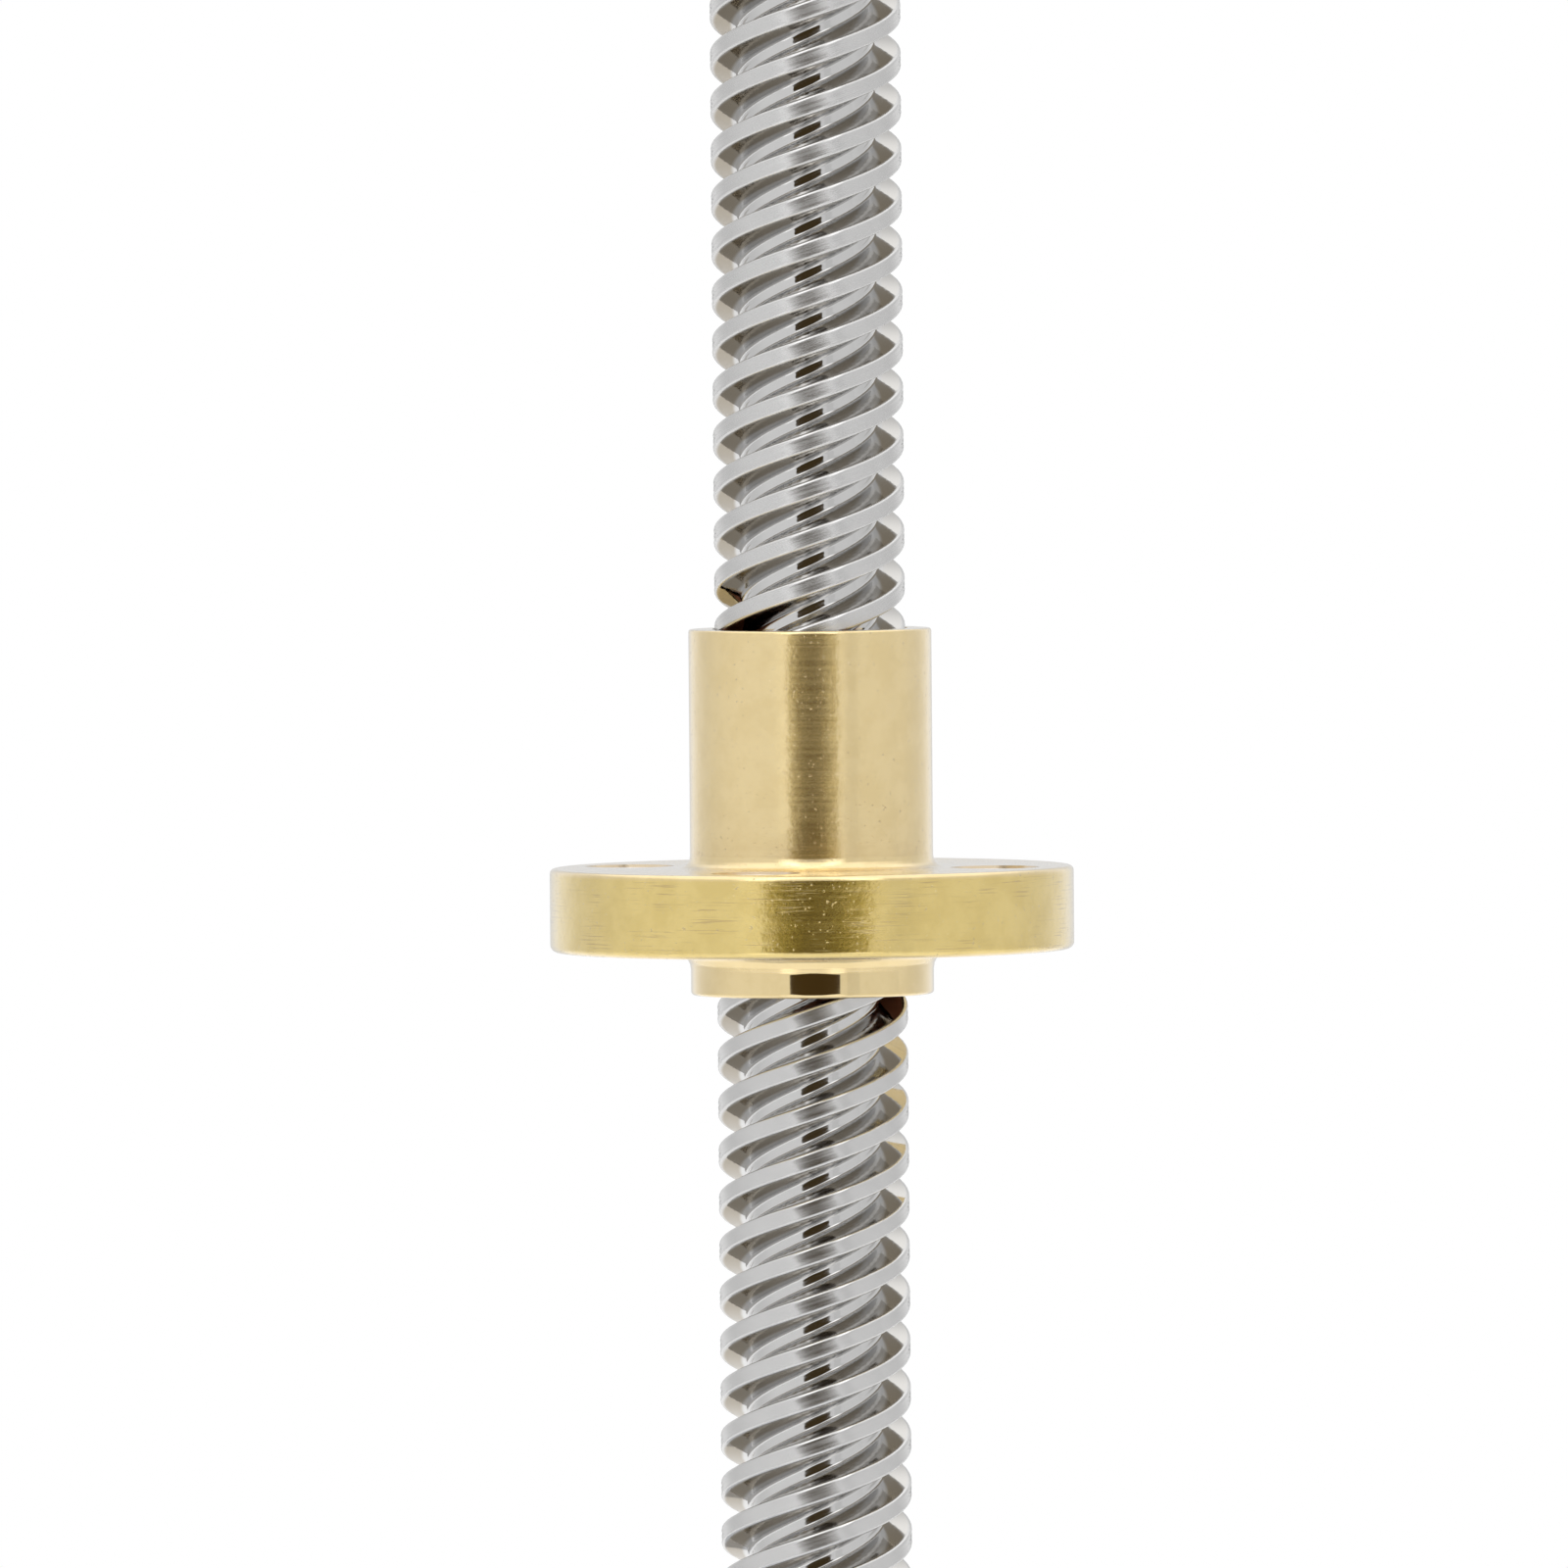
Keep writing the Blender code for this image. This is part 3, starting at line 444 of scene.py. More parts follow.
def nut_brass():
    """Turned brass with fine tool marks, short scratches round the flange, a few pits and a brown bore; the
    flange holes have a painted highlight on their walls and painted shade round their mouths.
    """
    finish = Finish("nut_brass", (0.75, 0.59, 0.31), 1.0, 0.2)
    radius, z, marks = turned_coordinates(finish)
    x, y, height = finish.position()
    place = finish.vector(x, y, height)
    around = finish.times(finish.math("ARCTAN2", y, x), FLANGE_RADIUS)
    lines = finish.noise(marks, 14.0, 3.0, 0.7)
    broad = finish.noise(marks, 2.2, 2.0, 0.5)
    mottle = finish.noise(place, 0.8, 4.0, 0.6)
    beside_chamfers = finish.window(z, NUT_BASE + 0.1, NUT_BASE + FLANGE_THICKNESS - 0.2, 0.2)
    wall = finish.times(finish.ramp(radius, FLANGE_RADIUS - 0.15, FLANGE_RADIUS - 0.05), beside_chamfers)
    boss = finish.ramp(z, NUT_BASE - 0.4, NUT_BASE - 0.1, 1.0, 0.0)
    above = finish.ramp(boss, 0.0, 1.0, 1.0, 0.0)
    patches = finish.ramp(finish.noise(place, 0.45, 2.0), 0.42, 0.6)
    stretched = finish.vector(finish.times(around, 0.35), finish.times(z, 12.0), radius)
    rubbed = finish.noise(stretched, 1.0, 2.0, 0.6)
    scratches = finish.times(finish.ramp(rubbed, 0.57, 0.64), patches, wall)
    pits = finish.times(finish.ramp(finish.noise(place, 6.5, 2.0, 0.5), 0.68, 0.73), above)
    light = finish.mix(wall, (0.72, 0.55, 0.24), (0.68, 0.505, 0.125))
    dark = finish.mix(wall, (0.68, 0.51, 0.205), (0.62, 0.45, 0.09))
    tint = finish.mix(finish.ramp(mottle, 0.35, 0.65), dark, light)
    tint = finish.mix(finish.times(scratches, 0.7), tint, (0.40, 0.27, 0.06))
    tint = finish.mix(finish.times(pits, 0.5), tint, (0.35, 0.24, 0.10))
    hole = hole_distance(finish, x, y)
    in_flange = finish.window(z, NUT_BASE - 0.2, NUT_BASE + FLANGE_THICKNESS + 0.2, 0.1)
    painted_hole_wall_light = finish.times(finish.ramp(hole, HOLE_RADIUS + 0.02, HOLE_RADIUS + 0.05, 1.0, 0.0), in_flange)
    painted_hole_rim_shade = finish.times(finish.window(hole, HOLE_RADIUS + 0.03, HOLE_RADIUS + 0.16, 0.03), in_flange)
    # Painted highlight: the walls of the flange holes are painted pale; painted shade darkens the ring round
    # each hole's mouth.
    tint = finish.mix(painted_hole_wall_light, tint, (0.80, 0.70, 0.60))
    tint = finish.mix(finish.times(painted_hole_rim_shade, 0.75), tint, (0.30, 0.22, 0.14))
    smoother = finish.times(finish.ramp(boss, 0.0, 1.0, 1.0, 0.22), finish.ramp(wall, 0.0, 1.0, 1.0, 0.88))
    groove_bottom, edge = MAJOR + CREST_SLACK, 0.06
    nut_top = NUT_BASE + FLANGE_THICKNESS + BARREL_LENGTH
    inside = finish.window(z, NUT_BASE - BOSS_LENGTH + edge, nut_top - edge, edge)
    bore = finish.times(finish.ramp(radius, groove_bottom + 0.04, groove_bottom + 0.10, 1.0, 0.0), inside)
    tint = finish.mix(bore, tint, (0.42, 0.15, 0.07))
    turned = finish.times(finish.ramp(lines, 0.3, 0.7, 0.20, 0.25), smoother)
    rough = finish.add(turned, finish.times(bore, 0.3))
    metallic = finish.ramp(bore, 0.0, 1.0, 1.0, 0.3)
    cuts = finish.bump(finish.times(lines, above), 0.05, 0.02)
    dents = finish.bump(finish.times(finish.noise(place, 0.7, 2.0), above), 0.2, 0.1, cuts)
    waves = finish.bump(broad, 0.08, 0.05, dents)
    speckle = finish.bump(finish.times(finish.noise(place, 4.0, 4.0, 0.65), above), 0.4, 0.02, waves)
    grooves = finish.bump(finish.times(scratches, -1.0), 0.15, 0.02, speckle)
    holes = finish.bump(finish.times(pits, -1.0), 0.5, 0.03, grooves)
    finish.set(Coat_Weight=1.0, Coat_Roughness=0.08, Coat_IOR=2.1, Coat_Normal=holes)
    return finish.set(
        Base_Color=tint,
        Metallic=metallic,
        Roughness=rough,
        Normal=holes,
        Anisotropic=0.82,
        Anisotropic_Rotation=0.25,
    )


def cast_aluminium():
    """Die-cast aluminium: faced on a lathe in front, milled on the sides, with a few casting pores."""
    finish = Finish("cast_aluminium", (0.56, 0.57, 0.59), 1.0, 0.35)
    _, z, rings = turned_coordinates(finish, 0.05)
    x, y, height = finish.position()
    place = finish.vector(x, y, height)
    faced = finish.ramp(z, FACE_HEIGHT - 0.2, FACE_HEIGHT - 0.05)
    milled = finish.vector(finish.times(x, 0.25), finish.times(y, 0.25), finish.times(z, 5.0))
    ring_lines = finish.noise(rings, 6.0, 4.0, 0.75)
    mill_lines = finish.noise(milled, 1.6, 4.0, 0.7)
    not_faced = finish.ramp(faced, 0.0, 1.0, 1.0, 0.0)
    lines = finish.add(finish.times(ring_lines, faced), finish.times(mill_lines, not_faced))
    grain = finish.noise(place, 5.0, 5.0, 0.65)
    cloud = finish.noise(place, 0.22, 4.0, 0.6)
    pores = finish.ramp(finish.noise(place, 3.2, 2.0), 0.735, 0.76)
    tint = finish.mix(finish.ramp(cloud, 0.3, 0.7), (0.49, 0.50, 0.52), (0.58, 0.59, 0.61))
    tint = finish.mix(finish.ramp(lines, 0.35, 0.65, 0.0, 0.25), tint, (0.70, 0.71, 0.73))
    tint = finish.mix(finish.times(pores, 0.7), tint, (0.20, 0.20, 0.21))
    rough = finish.add(finish.ramp(lines, 0.3, 0.7, 0.26, 0.42), finish.ramp(grain, 0.3, 0.7, -0.03, 0.03))
    tooled = finish.bump(lines, 0.30, 0.03)
    rough_grain = finish.bump(grain, 0.12, 0.02, tooled)
    sunk = finish.bump(finish.times(pores, -1.0), 0.6, 0.08, rough_grain)
    return finish.set(Base_Color=tint, Roughness=rough, Normal=sunk, Anisotropic=0.4)


def black_laminations():
    """Sheet edges under thin black lacquer, with the odd rub that lets the steel through."""
    finish = Finish("black_laminations", (0.018, 0.018, 0.02), 0.0, 0.4)
    x, y, z = finish.position()
    place = finish.vector(x, y, z)
    layer = finish.vector(finish.times(x, 0.3), finish.times(y, 0.3), finish.times(z, 9.0))
    streaks = finish.noise(layer, 0.5, 3.0, 0.6)
    grain = finish.noise(place, 4.0, 4.0, 0.6)
    patches = finish.ramp(finish.noise(place, 0.3, 2.0), 0.5, 0.62)
    rubs = finish.times(finish.ramp(streaks, 0.66, 0.72), patches)
    tint = finish.mix(grain, (0.009, 0.009, 0.010), (0.026, 0.026, 0.028))
    tint = finish.mix(finish.times(rubs, 0.5), tint, (0.12, 0.12, 0.12))
    rough = finish.ramp(grain, 0.3, 0.7, 0.30, 0.46)
    uneven = finish.bump(streaks, 0.35, 0.05)
    lacquer = finish.bump(grain, 0.12, 0.03, uneven)
    return finish.set(Base_Color=tint, Roughness=rough, Normal=lacquer, Specular_IOR_Level=0.35)


def plastic(name, colour, roughness, speckle=0.03):
    finish = Finish(name, colour, 0.0, roughness)
    place = finish.vector(*finish.position())
    grain = finish.noise(place, 7.0, 3.0)
    cloud = finish.noise(place, 0.5, 2.0)
    darker = tuple(channel * (1 - 3 * speckle) for channel in colour)
    tint = finish.mix(cloud, darker, colour)
    rough = finish.ramp(grain, 0.3, 0.7, roughness - 0.05, roughness + 0.06)
    return finish.set(Base_Color=tint, Roughness=rough, Normal=finish.bump(grain, 0.12, 0.02))


def metal(name, colour, roughness, scale=6.0, bump=0.1, turned=False):
    finish = Finish(name, colour, 1.0, roughness)
    if turned:
        _, _, place = turned_coordinates(finish)
    else:
        place = finish.vector(*finish.position())
    grain = finish.noise(place, scale, 4.0, 0.6)
    darker = tuple(channel * 0.88 for channel in colour)
    tint = finish.mix(finish.ramp(grain, 0.3, 0.7), darker, colour)
    rough = finish.ramp(grain, 0.3, 0.7, roughness - 0.04, roughness + 0.08)
    return finish.set(Base_Color=tint, Roughness=rough, Normal=finish.bump(grain, bump, 0.02))


def copper_winding():
    """Turns of enamelled wire, 0.3 mm apart along the pole, painted dark in the creases between turns as
    painted shade and light along each turn as a painted highlight.
    """
    finish = Finish("enamelled_copper", (0.60, 0.22, 0.07), 0.6, 0.3)
    x, y, _ = finish.position()
    turns = finish.math("PINGPONG", finish.radius(x, y), 0.15)
    wire_relief_and_shade = finish.ramp(turns, 0.0, 0.15)
    # Painted shade in the crease between turns and a painted highlight along each turn; the same profile
    # drives the bump.
    tint = finish.mix(wire_relief_and_shade, (0.30, 0.09, 0.03), (0.68, 0.27, 0.09))
    return finish.set(Base_Color=tint, Normal=finish.bump(wire_relief_and_shade, 0.7, 0.1))


# ---------------------------------------------------------------- lead screw and nut


def thread_section(crest_half, root_half, major, minor, crest_fillet, root_fillet):
    """One pitch of the thread in an axial plane, as (offset, radius) from one root's middle to the next."""
    half = PITCH / 2
    corners = [
        (-half, minor, 0),
        (-half + root_half, minor, root_fillet),
        (-crest_half, major, crest_fillet),
        (crest_half, major, crest_fillet),
        (half - root_half, minor, root_fillet),
        (half, minor, 0),
    ]
    outline = supported(rounded(corners, 4))[:-1] + [(0.0, major)]
    return sorted(outline, reverse=True)


def thread_ring(section, z, squeeze):
    """The thread's cross-section at height z; squeeze(radius, z) trims the radius."""
    points = []
    for start in range(STARTS):
        for offset, radius in section:
            turn = THREAD_PHASE + 360 * (z / LEAD + start / STARTS) - 360 * offset / LEAD
            x, y = polar(squeeze(radius, z), turn)
            points.append((x, y, z))
    return points


def thread_solid(name, section, heights, squeeze):
    points = []
    for z in heights:
        points += thread_ring(section, z, squeeze)
    size = STARTS * len(section)
    faces = grid_faces(len(heights), size) + end_faces(len(heights), size)
    return object_of(name, points, faces, 40.0)


def even_steps(low, high, step):
    count = max(1, round((high - low) / step))
    return [low + (high - low) * index / count for index in range(count + 1)]


def make_lead_screw(material):
    low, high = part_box("lead_screw")
    bottom, top = low.z / MM, high.z / MM
    collar_low = THREAD_BOTTOM - 1.0
    chamfer_low = top - SCREW_END_CHAMFER
    section = thread_section(CREST_HALF, ROOT_HALF, MAJOR, MINOR, CREST_FILLET, ROOT_FILLET)

    def squeeze(radius, z):
        limit = MAJOR - max(0.0, z - chamfer_low)
        fade = min(1.0, max(0.0, (z - THREAD_BOTTOM) / THREAD_RUNOUT))
        return min(limit, RUNOUT_RADIUS + (radius - RUNOUT_RADIUS) * fade)

    heights = even_steps(THREAD_BOTTOM, chamfer_low, LEAD / RINGS_PER_TURN)
    heights += even_steps(chamfer_low, top, 0.1)[1:]
    thread = thread_solid("lead_screw_thread", section, heights, squeeze)
    journal = rounded(
        [
            (0, bottom, 0),
            (JOURNAL_RADIUS, bottom, 0.3),
            (JOURNAL_RADIUS, collar_low, 0),
            (RUNOUT_RADIUS, collar_low, 0.1),
            (RUNOUT_RADIUS, THREAD_BOTTOM + 0.3, 0),
            (0, THREAD_BOTTOM + 0.3, 0),
        ],
        3,
    )
    shaft = lathe("screw_journal", journal, 64)
    cut(thread, [shaft], "UNION")
    sharpen(thread, 40.0)
    return finish_piece(thread, material, "rotor", "stainless_screw", "lead_screw")


def make_nut(material):
    low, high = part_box("lead_nut")
    base = low.z / MM + BOSS_LENGTH
    top = high.z / MM
    outline = [
        (0, -BOSS_LENGTH, 0),
        (BARREL_RADIUS, -BOSS_LENGTH, 0.15),
        (BARREL_RADIUS, 0, 0.8),
        (FLANGE_RADIUS, 0, 0.3),
        (FLANGE_RADIUS, FLANGE_THICKNESS, 0.22),
        (BARREL_RADIUS, FLANGE_THICKNESS, 0.5),
        (BARREL_RADIUS, FLANGE_THICKNESS + BARREL_LENGTH, 0.12),
        (0, FLANGE_THICKNESS + BARREL_LENGTH, 0),
    ]
    turned = [(radius, base + z) for radius, z in supported(rounded(outline, 5))]
    nut = lathe("lead_nut_turned", turned, 192, 50.0)
    section = thread_section(
        CREST_HALF + THREAD_SLACK, ROOT_HALF - THREAD_SLACK, MAJOR + CREST_SLACK, BORE_ROOT, 0.1, 0.1
    )
    heights = even_steps(base - BOSS_LENGTH - 1, top + 1, LEAD / RINGS_PER_TURN)
    bore = thread_solid("nut_thread", section, heights, lambda radius, z: radius)
    sinks = []
    for end, outward in ((top, 1), (base - BOSS_LENGTH, -1)):
        cone = [
            (0, end - outward * 0.75),
            (BORE_ROOT, end - outward * 0.75),
            (MAJOR + 1.25, end + outward),
            (0, end + outward),
        ]
        sinks.append(lathe("nut_countersink", cone, 96))
    mouth = HOLE_RADIUS + HOLE_EDGE
    flange_top = base + FLANGE_THICKNESS
    profile = [
        (0, base - 1.0),
        (mouth, base - 1.0),
        (mouth, base),
        (HOLE_RADIUS, base + HOLE_EDGE),
        (HOLE_RADIUS, flange_top - HOLE_EDGE),
        (mouth, flange_top),
        (mouth, flange_top + 1.0),
        (0, flange_top + 1.0),
    ]
    holes = []
    for index in range(4):
        x, y = polar(HOLE_CIRCLE, HOLE_ANGLE + 90 * index)
        hole = lathe("nut_hole", profile, 48)
        hole.location = (x * MM, y * MM, 0)
        holes.append(hole)
    cut(nut, [bore] + sinks + holes)
    sharpen(nut, 35.0)
    return finish_piece(nut, material, "nut", "nut_brass", "lead_nut")


# ---------------------------------------------------------------- motor


def body_outline(half, inset=0.0):
    """The motor's square section with its corners cut off, shrunk by the inset."""
    reach = half - inset
    inner = half - CORNER_CUT - inset * (math.sqrt(2) - 1)
    corners = []
    for quarter in range(4):
        turn = Matrix.Rotation(quarter * math.pi / 2, 2)
        for corner in ((reach, inner), (inner, reach)):
            point = turn @ Vector(corner)
            corners.append((point.x, point.y, CORNER_RADIUS - inset))
    return rounded(corners, 4, closed=True)


def corner_places():
    half = SCREW_SPACING / 2
    return [(half, half), (-half, half), (-half, -half), (half, -half)]


def at_corners(make):
    """One tool at each corner screw, made by the given function."""
    tools = []
    for x, y in corner_places():
        tool = make()
        tool.location = (x * MM, y * MM, 0)
        tools.append(tool)
    return tools


def node_heights(node):
    low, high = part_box(node)
    return low.z / MM, high.z / MM


def thread_rings(low, high, inner, outer):
    """The outline of a fine screw thread between two heights."""
    outline = []
    for turn in range(round((high - low) / SCREW_THREAD_PITCH)):
        z = low + turn * SCREW_THREAD_PITCH
        outline += [(inner, z), (outer, z + SCREW_THREAD_PITCH / 2)]
    return outline


def tapped_hole(low, face):
    """An M3 thread that runs out of a plain hole, with a chamfered mouth at the face."""
    drill, thread, mouth = 1.28, 1.5, 0.3
    start = face - TAPPED_DEPTH
    outline = [(0, low), (thread, low), (thread, start)]
    outline += thread_rings(start + 0.05, face - mouth - 0.2, drill, thread)
    outline += [(thread, face - mouth), (thread + mouth, face), (thread + mouth, face + 1), (0, face + 1)]
    return lathe("tapped_hole", outline, 32)


def make_front_bell(material):
    low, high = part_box("front_end_bell")
    half = high.x / MM
    bottom, pilot_top = low.z / MM, high.z / MM
    face = pilot_top - PILOT_HEIGHT
    bell = stack(
        "front_end_bell_cast",
        [
            (body_outline(half, SEAM_CHAMFER), bottom),
            (body_outline(half), bottom + SEAM_CHAMFER),
            (body_outline(half), face - EDGE_CHAMFER),
            (body_outline(half, EDGE_CHAMFER), face),
        ],
    )
    pilot = lathe(
        "pilot",
        [
            (0, face - 1),
            (PILOT_RADIUS, face - 1),
            (PILOT_RADIUS, pilot_top - PILOT_CHAMFER),
            (PILOT_RADIUS - PILOT_CHAMFER, pilot_top),
            (0, pilot_top),
        ],
        160,
    )
    cut(bell, [pilot], "UNION")
    cavity_top = bottom + 3.1
    seat_top = face - 1.3
    hollow = lathe(
        "front_hollow",
        [
            (0, bottom - 1),
            (CAVITY_RADIUS, bottom - 1),
            (CAVITY_RADIUS, cavity_top),
            (BEARING_SEAT_RADIUS, cavity_top),
            (BEARING_SEAT_RADIUS, seat_top),
            (SHAFT_HOLE_RADIUS, seat_top),
            (SHAFT_HOLE_RADIUS, pilot_top - 0.5),
            (SHAFT_HOLE_RADIUS + 0.5, pilot_top),
            (SHAFT_HOLE_RADIUS + 0.5, pilot_top + 1),
            (0, pilot_top + 1),
        ],
        96,
    )
    groove = lathe(
        "pilot_groove",
        [
            (PILOT_RADIUS + 0.01, face - 0.2),
            (PILOT_RADIUS + 0.5, face - 0.2),
            (PILOT_RADIUS + 0.6, face + 0.1),
            (PILOT_RADIUS + 0.01, face + 0.1),
        ],
        160,
    )
    holes = at_corners(lambda: tapped_hole(bottom - 1, face))
    cut(bell, [hollow, groove] + holes)
    sharpen(bell)
    return finish_piece(bell, material, "housing", "cast_aluminium", "front_end_bell")


def counterbore(depth, top):
    """The clearance hole and counterbore of a case screw, from the rear face."""
    bore, edge = 3.1, 0.25
    outline = [
        (0, -1.0),
        (bore + edge, -1.0),
        (bore + edge, 0.0),
        (bore, edge),
        (bore, depth),
        (SCREW_CLEARANCE_RADIUS, depth),
        (SCREW_CLEARANCE_RADIUS, top),
        (0, top),
    ]
    return lathe("counterbore", outline, 40)


def make_rear_bell(material):
    low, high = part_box("rear_end_bell")
    half = high.x / MM
    bottom, top = low.z / MM, high.z / MM
    bell = stack(
        "rear_end_bell_cast",
        [
            (body_outline(half, EDGE_CHAMFER), bottom),
            (body_outline(half), bottom + EDGE_CHAMFER),
            (body_outline(half), top - SEAM_CHAMFER),
            (body_outline(half, SEAM_CHAMFER), top),
        ],
    )
    washer_floor, cavity_floor, boss_radius, boss_top = 1.2, 3.0, 9.6, 7.3
    hollow = lathe(
        "rear_hollow",
        [
            (0, washer_floor),
            (BEARING_SEAT_RADIUS, washer_floor),
            (BEARING_SEAT_RADIUS, boss_top),
            (boss_radius, boss_top),
            (boss_radius, cavity_floor),
            (CAVITY_RADIUS, cavity_floor),
            (CAVITY_RADIUS, top + 1),
            (0, top + 1),
        ],
        96,
    )
    gap, notch_back = 0.2, -16.55
    shell_low, shell_high = (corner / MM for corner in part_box("connector_shell"))
    notch = block(
        "connector_notch",
        (shell_low.x - gap, -half - 1, shell_low.z - gap),
        (shell_high.x + gap, notch_back, top + 2),
    )
    cut(bell, [hollow, notch] + at_corners(lambda: counterbore(2.6, top + 1)))
    sharpen(bell)
    return finish_piece(bell, material, "housing", "cast_aluminium", "rear_end_bell")


def slot_outline():
    """The hollow of one lamination: eight slots between eight toothed poles."""
    tip, root, shoe, yoke, pole_half = 11.05, 11.6, 12.6, 18.2, 2.1
    yoke_turns = (12.0, 18.0, 22.5, 27.0, 33.0)
    half = TOOTH_WIDTH / 2
    shoe_half = (TEETH_PER_POLE - 1) / 2 * TOOTH_PITCH + half
    at_shoe = math.degrees(math.asin(pole_half / shoe))
    at_yoke = math.degrees(math.asin(pole_half / yoke))
    points = []
    for pole in range(POLES):
        centre = pole * 360 / POLES
        points += [polar(yoke, centre - at_yoke), polar(shoe, centre - at_shoe)]
        points.append(polar(shoe, centre - shoe_half))
        for tooth in range(TEETH_PER_POLE):
            middle = centre + (tooth - (TEETH_PER_POLE - 1) / 2) * TOOTH_PITCH
            if tooth:
                points.append(polar(root, middle - half))
            points += [polar(tip, middle - half), polar(tip, middle + half)]
            if tooth < TEETH_PER_POLE - 1:
                points.append(polar(root, middle + half))
        points.append(polar(shoe, centre + shoe_half))
        points += [polar(shoe, centre + at_shoe), polar(yoke, centre + at_yoke)]
        points += [polar(yoke, centre + turn) for turn in yoke_turns]
    return points


def make_stator(material):
    """The stack, sheet by sheet: each edge is a little rounded, and no two sheets are quite flush."""
    low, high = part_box("stator_core")
    half = high.x / MM
    bottom, top = low.z / MM, high.z / MM
    count = round((top - bottom) / SHEET_THICKNESS)
    sheet = (top - bottom) / count
    seam, edge, most_uneven = 0.07, 0.05, 0.02
    uneven = random.Random(17)
    layers = []
    for index in range(count):
        z = bottom + index * sheet
        inset = uneven.uniform(0.0, most_uneven)
        layers.append((body_outline(half, seam), z))
        layers.append((body_outline(half, inset), z + edge))
        layers.append((body_outline(half, inset), z + sheet - edge))
    layers.append((body_outline(half, seam), top))
    core = stack("stator_stack", layers, 20.0)
    slots = prism("stator_slots", slot_outline(), bottom - 1, top + 1)
    wide = SCREW_CLEARANCE_RADIUS
    bolt = [(0, bottom - 1), (wide, bottom - 1), (wide, top + 1), (0, top + 1)]
    cut(core, [slots] + at_corners(lambda: lathe("bolt_hole", bolt, 24)))
    sharpen(core, 20.0)
    return finish_piece(core, material, "housing", "black_laminations", "stator_core")


def make_connector(shell_material, pin_material):
    low, high = (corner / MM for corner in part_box("connector_shell"))
    wall, back, socket_top, key_at, key_half = 0.8, 1.0, 8.3, 5.0, 0.8
    floor = high.y - back
    shell = block("connector_shell_moulded", low, high, 0.18)
    socket = block(
        "socket", (low.x + wall, low.y - 1, low.z + wall), (high.x - wall, floor, socket_top), 0.12
    )
    tools = [socket]
    for side in (-1, 1):
        middle = side * key_at
        key_low = (middle - key_half, low.y - 1, low.z - 1)
        key_high = (middle + key_half, floor - 0.8, low.z + wall + 0.5)
        tools.append(block("key", key_low, key_high))
    pins = [f"connector_pin_{index}" for index in range(1, 7)]
    for name in pins:
        pin_low, pin_high = (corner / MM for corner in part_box(name))
        x = (pin_low.x + pin_high.x) / 2
        z = pin_low.z + PIN_HALF
        room = PIN_HALF + 0.03
        tools.append(block("pin_hole", (x - room, floor - 1, z - room), (x + room, high.y + 1, z + room)))
        make_pin(name, x, pin_low, pin_high, pin_material)
    cut(shell, tools)
    sharpen(shell)
    return finish_piece(shell, shell_material, "housing", "ivory_nylon", "connector_shell")


def make_pin(name, x, low, high, material):
    """A square pin with a pointed tip, bent up into the board behind."""
    bottom = low.z
    top = bottom + 2 * PIN_HALF
    leg = high.y - 2 * PIN_HALF
    taper = 0.4
    side_view = [
        (low.y, bottom + 0.15, 0),
        (low.y + taper, bottom, 0),
        (high.y, bottom, 0.3),
        (high.y, high.z, 0),
        (leg, high.z, 0),
        (leg, top, 0.1),
        (low.y + taper, top, 0),
        (low.y, top - 0.15, 0),
    ]
    pin = prism(f"{name}_tinned", rounded(side_view, 3, closed=True), -PIN_HALF, PIN_HALF)
    pin.data.transform(Matrix(((0, 0, 1, x * MM), (1, 0, 0, 0), (0, 1, 0, 0), (0, 0, 0, 1))))
    for vertex in pin.data.vertices:
        if vertex.co.y < (low.y + 0.01) * MM:
            vertex.co.x = x * MM + (vertex.co.x - x * MM) * 0.4
    finish_piece(pin, material, "housing", "tinned_pin", name)


def cross_outline(reach, half):
    """A cross with arms of that reach and half width."""
    points = []
    for quarter in range(4):
        turn = Matrix.Rotation(quarter * math.pi / 2, 2)
        for corner in ((reach, -half), (reach, half), (half, half)):
            point = turn @ Vector(corner)
            points.append((point.x, point.y))
    return points


def make_case_screw(name, material):
    """A pan-head M3 screw with a cross recess, head down in its counterbore."""
    low, high = (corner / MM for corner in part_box(name))
    head, shank = (high.x - low.x) / 2, 1.3
    head_top = low.z + 2.05
    side = [
        (0, low.z, 0),
        (head, low.z, 0.75),
        (head, head_top, 0.1),
        (shank - 0.12, head_top, 0),
        (shank - 0.12, high.z - 9, 0),
    ]
    outline = rounded(side, 4)
    outline += thread_rings(high.z - 8.75, high.z - 0.6, shank - 0.22, shank)
    outline += [(shank - 0.4, high.z), (0, high.z)]
    screw = lathe(f"{name}_zinc", outline, 40)
    deep = low.z + 1.35
    recess = stack(
        "recess", [(cross_outline(1.75, 0.5), low.z - 0.2), (cross_outline(0.55, 0.2), deep)]
    )
    cut(screw, [recess])
    sharpen(screw)
    screw.data.transform(Matrix.Translation(Vector(((low.x + high.x) / 2, (low.y + high.y) / 2, 0)) * MM))
    finish_piece(screw, material, "housing", "zinc_screw", name)


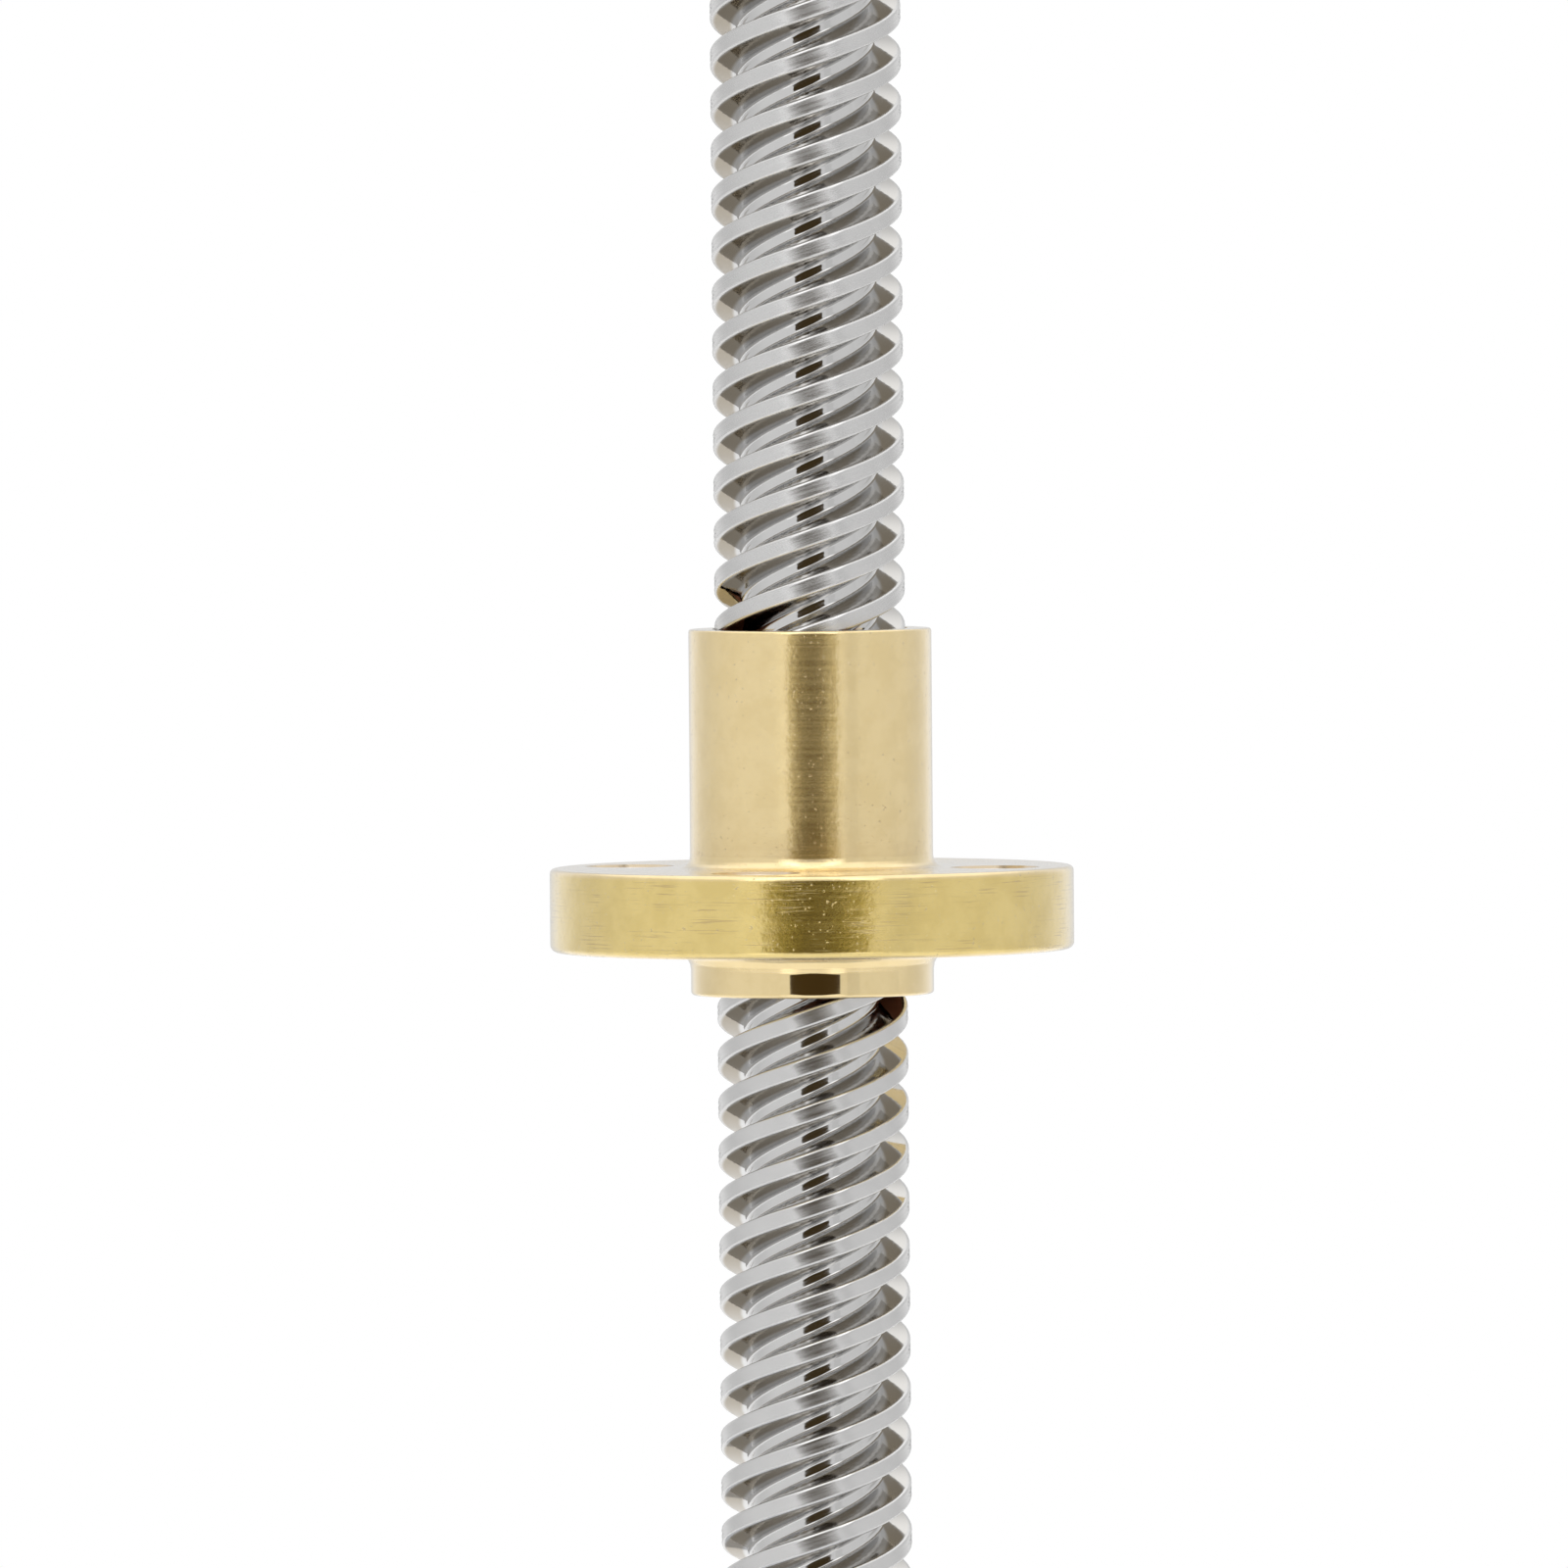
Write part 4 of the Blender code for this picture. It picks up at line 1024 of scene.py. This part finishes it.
def make_bearing(side, steel, sheet):
    """Rings with rounded edges and ball grooves, and thin pressed shields."""
    low, high = node_heights(f"{side}_bearing_outer_ring")
    middle = (low + high) / 2
    edge = 0.3
    for ring, body, flat, face, groove in (
        ("outer", "housing", 8.0, 6.5, 6.95),
        ("inner", "rotor", 2.62, 4.2, 3.55),
    ):
        outline = [
            (flat, low, edge),
            (face, low, 0.1),
            (face, middle - 1.15, 0),
            ((face + groove) / 2, middle - 0.6, 0),
            (groove, middle, 0.8),
            ((face + groove) / 2, middle + 0.6, 0),
            (face, middle + 1.15, 0),
            (face, high, 0.1),
            (flat, high, edge),
        ]
        name = f"{side}_bearing_{ring}_ring"
        piece = lathe(f"{name}_ground", rounded(outline, 4, closed=True), 96)
        finish_piece(piece, steel, body, "bearing_steel", name)
    for where in ("rear", "front"):
        name = f"{side}_bearing_{where}_shield"
        bottom, top = node_heights(name)
        outward = 1 if where == "front" else -1
        outer_face, inner_face = (top, bottom) if outward > 0 else (bottom, top)
        step = 0.1 * outward
        outline = [
            (6.35, outer_face, 0.05),
            (5.9, outer_face, 0),
            (5.75, outer_face - step, 0),
            (4.45, outer_face - step, 0),
            (4.45, inner_face, 0),
            (6.35, inner_face, 0),
        ]
        piece = lathe(f"{name}_pressed", rounded(outline, 3, closed=True), 96)
        finish_piece(piece, sheet, "housing", "shield_steel", name)


# ---------------------------------------------------------------- stage


def make_world():
    """A white studio, brighter from above, with a dark gap round the camera that the metals reflect."""
    world = bpy.data.worlds.new("studio")
    bpy.context.scene.world = world
    world.use_nodes = True
    world.node_tree.nodes.clear()
    sky = Nodes(world.node_tree)
    x, y, z = sky.split(sky.node("ShaderNodeTexCoord").outputs["Generated"])
    to_degrees = 180 / math.pi
    azimuth = sky.times(sky.math("ARCTAN2", x, sky.times(y, -1.0)), to_degrees)
    elevation = sky.times(sky.math("ARCSINE", z), to_degrees)
    away = sky.math("ABSOLUTE", azimuth)
    level_band = sky.window(elevation, -GAP_TOP, GAP_TOP, 3.0)
    taper = sky.ramp(sky.math("ABSOLUTE", elevation), 3.0, GAP_TOP, 1.0, 0.15, "LINEAR")
    gap = sky.times(sky.window(sky.math("DIVIDE", azimuth, taper), GAP_LEFT, GAP_RIGHT, 1.5), level_band)
    # Above and below the gap, a brighter strip on each side of it lights the thread beside the dark band
    off_band = sky.math("SUBTRACT", 1.0, level_band)
    left_edge = sky.times(sky.ramp(azimuth, -34.0, -28.0), sky.ramp(azimuth, -22.0, -10.0, 1.0, 0.0))
    right_edge = sky.times(sky.ramp(azimuth, 10.0, 22.0), sky.ramp(azimuth, 28.0, 35.0, 1.0, 0.0))
    beside = sky.window(azimuth, 33.0, 45.5, 2.0)
    right_side = sky.window(azimuth, GAP_RIGHT, 90.0, 2.0)
    sides = sky.times(sky.ramp(away, 70.0, 120.0), sky.ramp(away, 120.0, 150.0, 1.0, 0.0))
    behind = sky.ramp(away, 150.0, 170.0)
    overhead = sky.ramp(elevation, 25.0, 50.0)
    level = sky.add(
        1.0,
        sky.times(left_edge, off_band, 1.1),
        sky.times(right_edge, off_band, 1.0),
        sky.times(beside, -0.1),
        sky.times(right_side, -0.06),
        sky.times(sides, -0.13),
        sky.times(behind, -0.25),
        sky.times(overhead, 0.6),
    )
    lit = sky.node("ShaderNodeBackground")
    sky.feed(lit.inputs["Color"], sky.mix(gap, (1.0, 1.0, 1.0), GAP_COLOUR))
    sky.feed(lit.inputs["Strength"], level)
    plain = sky.node("ShaderNodeBackground")
    plain.inputs["Color"].default_value = (1, 1, 1, 1)
    chosen = sky.node("ShaderNodeMixShader")
    sky.feed(chosen.inputs[0], sky.node("ShaderNodeLightPath").outputs["Is Camera Ray"])
    sky.feed(chosen.inputs[1], lit.outputs[0])
    sky.feed(chosen.inputs[2], plain.outputs[0])
    output = sky.node("ShaderNodeOutputWorld")
    sky.feed(output.inputs[0], chosen.outputs[0])
    bpy.context.scene.view_settings.view_transform = "Standard"


def make_floor():
    """A pale disc under the motor, which fades into the white surroundings at its edge."""
    radius, fade_from, bottom, top = 340.0, 90.0, -2.0, -0.05
    floor = lathe("floor", [(0, bottom), (radius, bottom), (radius, top), (0, top)], 96)
    finish = Finish("floor", (0.93, 0.93, 0.93), 0.0, 0.6)
    x, y, _ = finish.position()
    alpha = finish.ramp(finish.radius(x, y), fade_from, radius - 10, 1.0, 0.0)
    floor.data.materials.append(finish.set(Alpha=alpha))


def make_camera():
    tilt = math.radians(CAMERA_TILT)
    back = Vector((0, -math.cos(tilt), math.sin(tilt)))
    data = bpy.data.cameras.new("camera")
    data.lens = CAMERA_LENS
    data.sensor_width = 36.0
    data.clip_start = 0.01
    camera = bpy.data.objects.new("camera", data)
    bpy.context.scene.collection.objects.link(camera)
    camera.location = Vector(CAMERA_TARGET) * MM + back * CAMERA_DISTANCE
    roll = Quaternion((0, 0, 1), math.radians(CAMERA_ROLL))
    camera.rotation_mode = "QUATERNION"
    camera.rotation_quaternion = back.to_track_quat("Z", "Y") @ roll
    bpy.context.scene.camera = camera


# ---------------------------------------------------------------- assembly


def dress_nodes(finishes):
    """Give every CAD node that still shows its slot's procedural material."""
    slots = {entry["node"]: entry["material_slot"] for entry in frame["record"]["subparts"]}
    for name, node in frame["nodes"].items():
        material = finishes[slots[name]]
        node.data.materials.clear()
        node.data.materials.append(material)


def main():
    make_world()
    make_floor()
    make_camera()
    steel = screw_steel()
    brass = nut_brass()
    bearing_steel = metal("bearing_steel", (0.66, 0.66, 0.67), 0.16, turned=True)
    finishes = {
        "cast_aluminium": cast_aluminium(),
        "black_laminations": black_laminations(),
        "white_insulator": plastic("white_insulator", (0.80, 0.79, 0.74), 0.5),
        "enamelled_copper": copper_winding(),
        "green_board": plastic("green_board", (0.03, 0.16, 0.07), 0.4),
        "ivory_nylon": plastic("ivory_nylon", (0.84, 0.81, 0.70), 0.42),
        "tinned_pin": metal("tinned_pin", (0.78, 0.77, 0.74), 0.28),
        "zinc_screw": metal("zinc_screw", (0.60, 0.60, 0.61), 0.3),
        "bearing_steel": bearing_steel,
        "shield_steel": metal("shield_steel", (0.6, 0.6, 0.6), 0.32, turned=True),
        "rotor_steel": metal("rotor_steel", (0.42, 0.42, 0.43), 0.38),
        "dark_magnet": metal("dark_magnet", (0.16, 0.16, 0.17), 0.5),
        "stainless_screw": steel,
        "nut_brass": brass,
    }
    dress_nodes(finishes)
    make_lead_screw(steel)
    make_nut(brass)
    make_front_bell(finishes["cast_aluminium"])
    make_rear_bell(finishes["cast_aluminium"])
    make_stator(finishes["black_laminations"])
    make_connector(finishes["ivory_nylon"], finishes["tinned_pin"])
    for index in range(1, 5):
        make_case_screw(f"case_screw_{index}", finishes["zinc_screw"])
    for side in ("rear", "front"):
        make_bearing(side, bearing_steel, finishes["shield_steel"])


main()
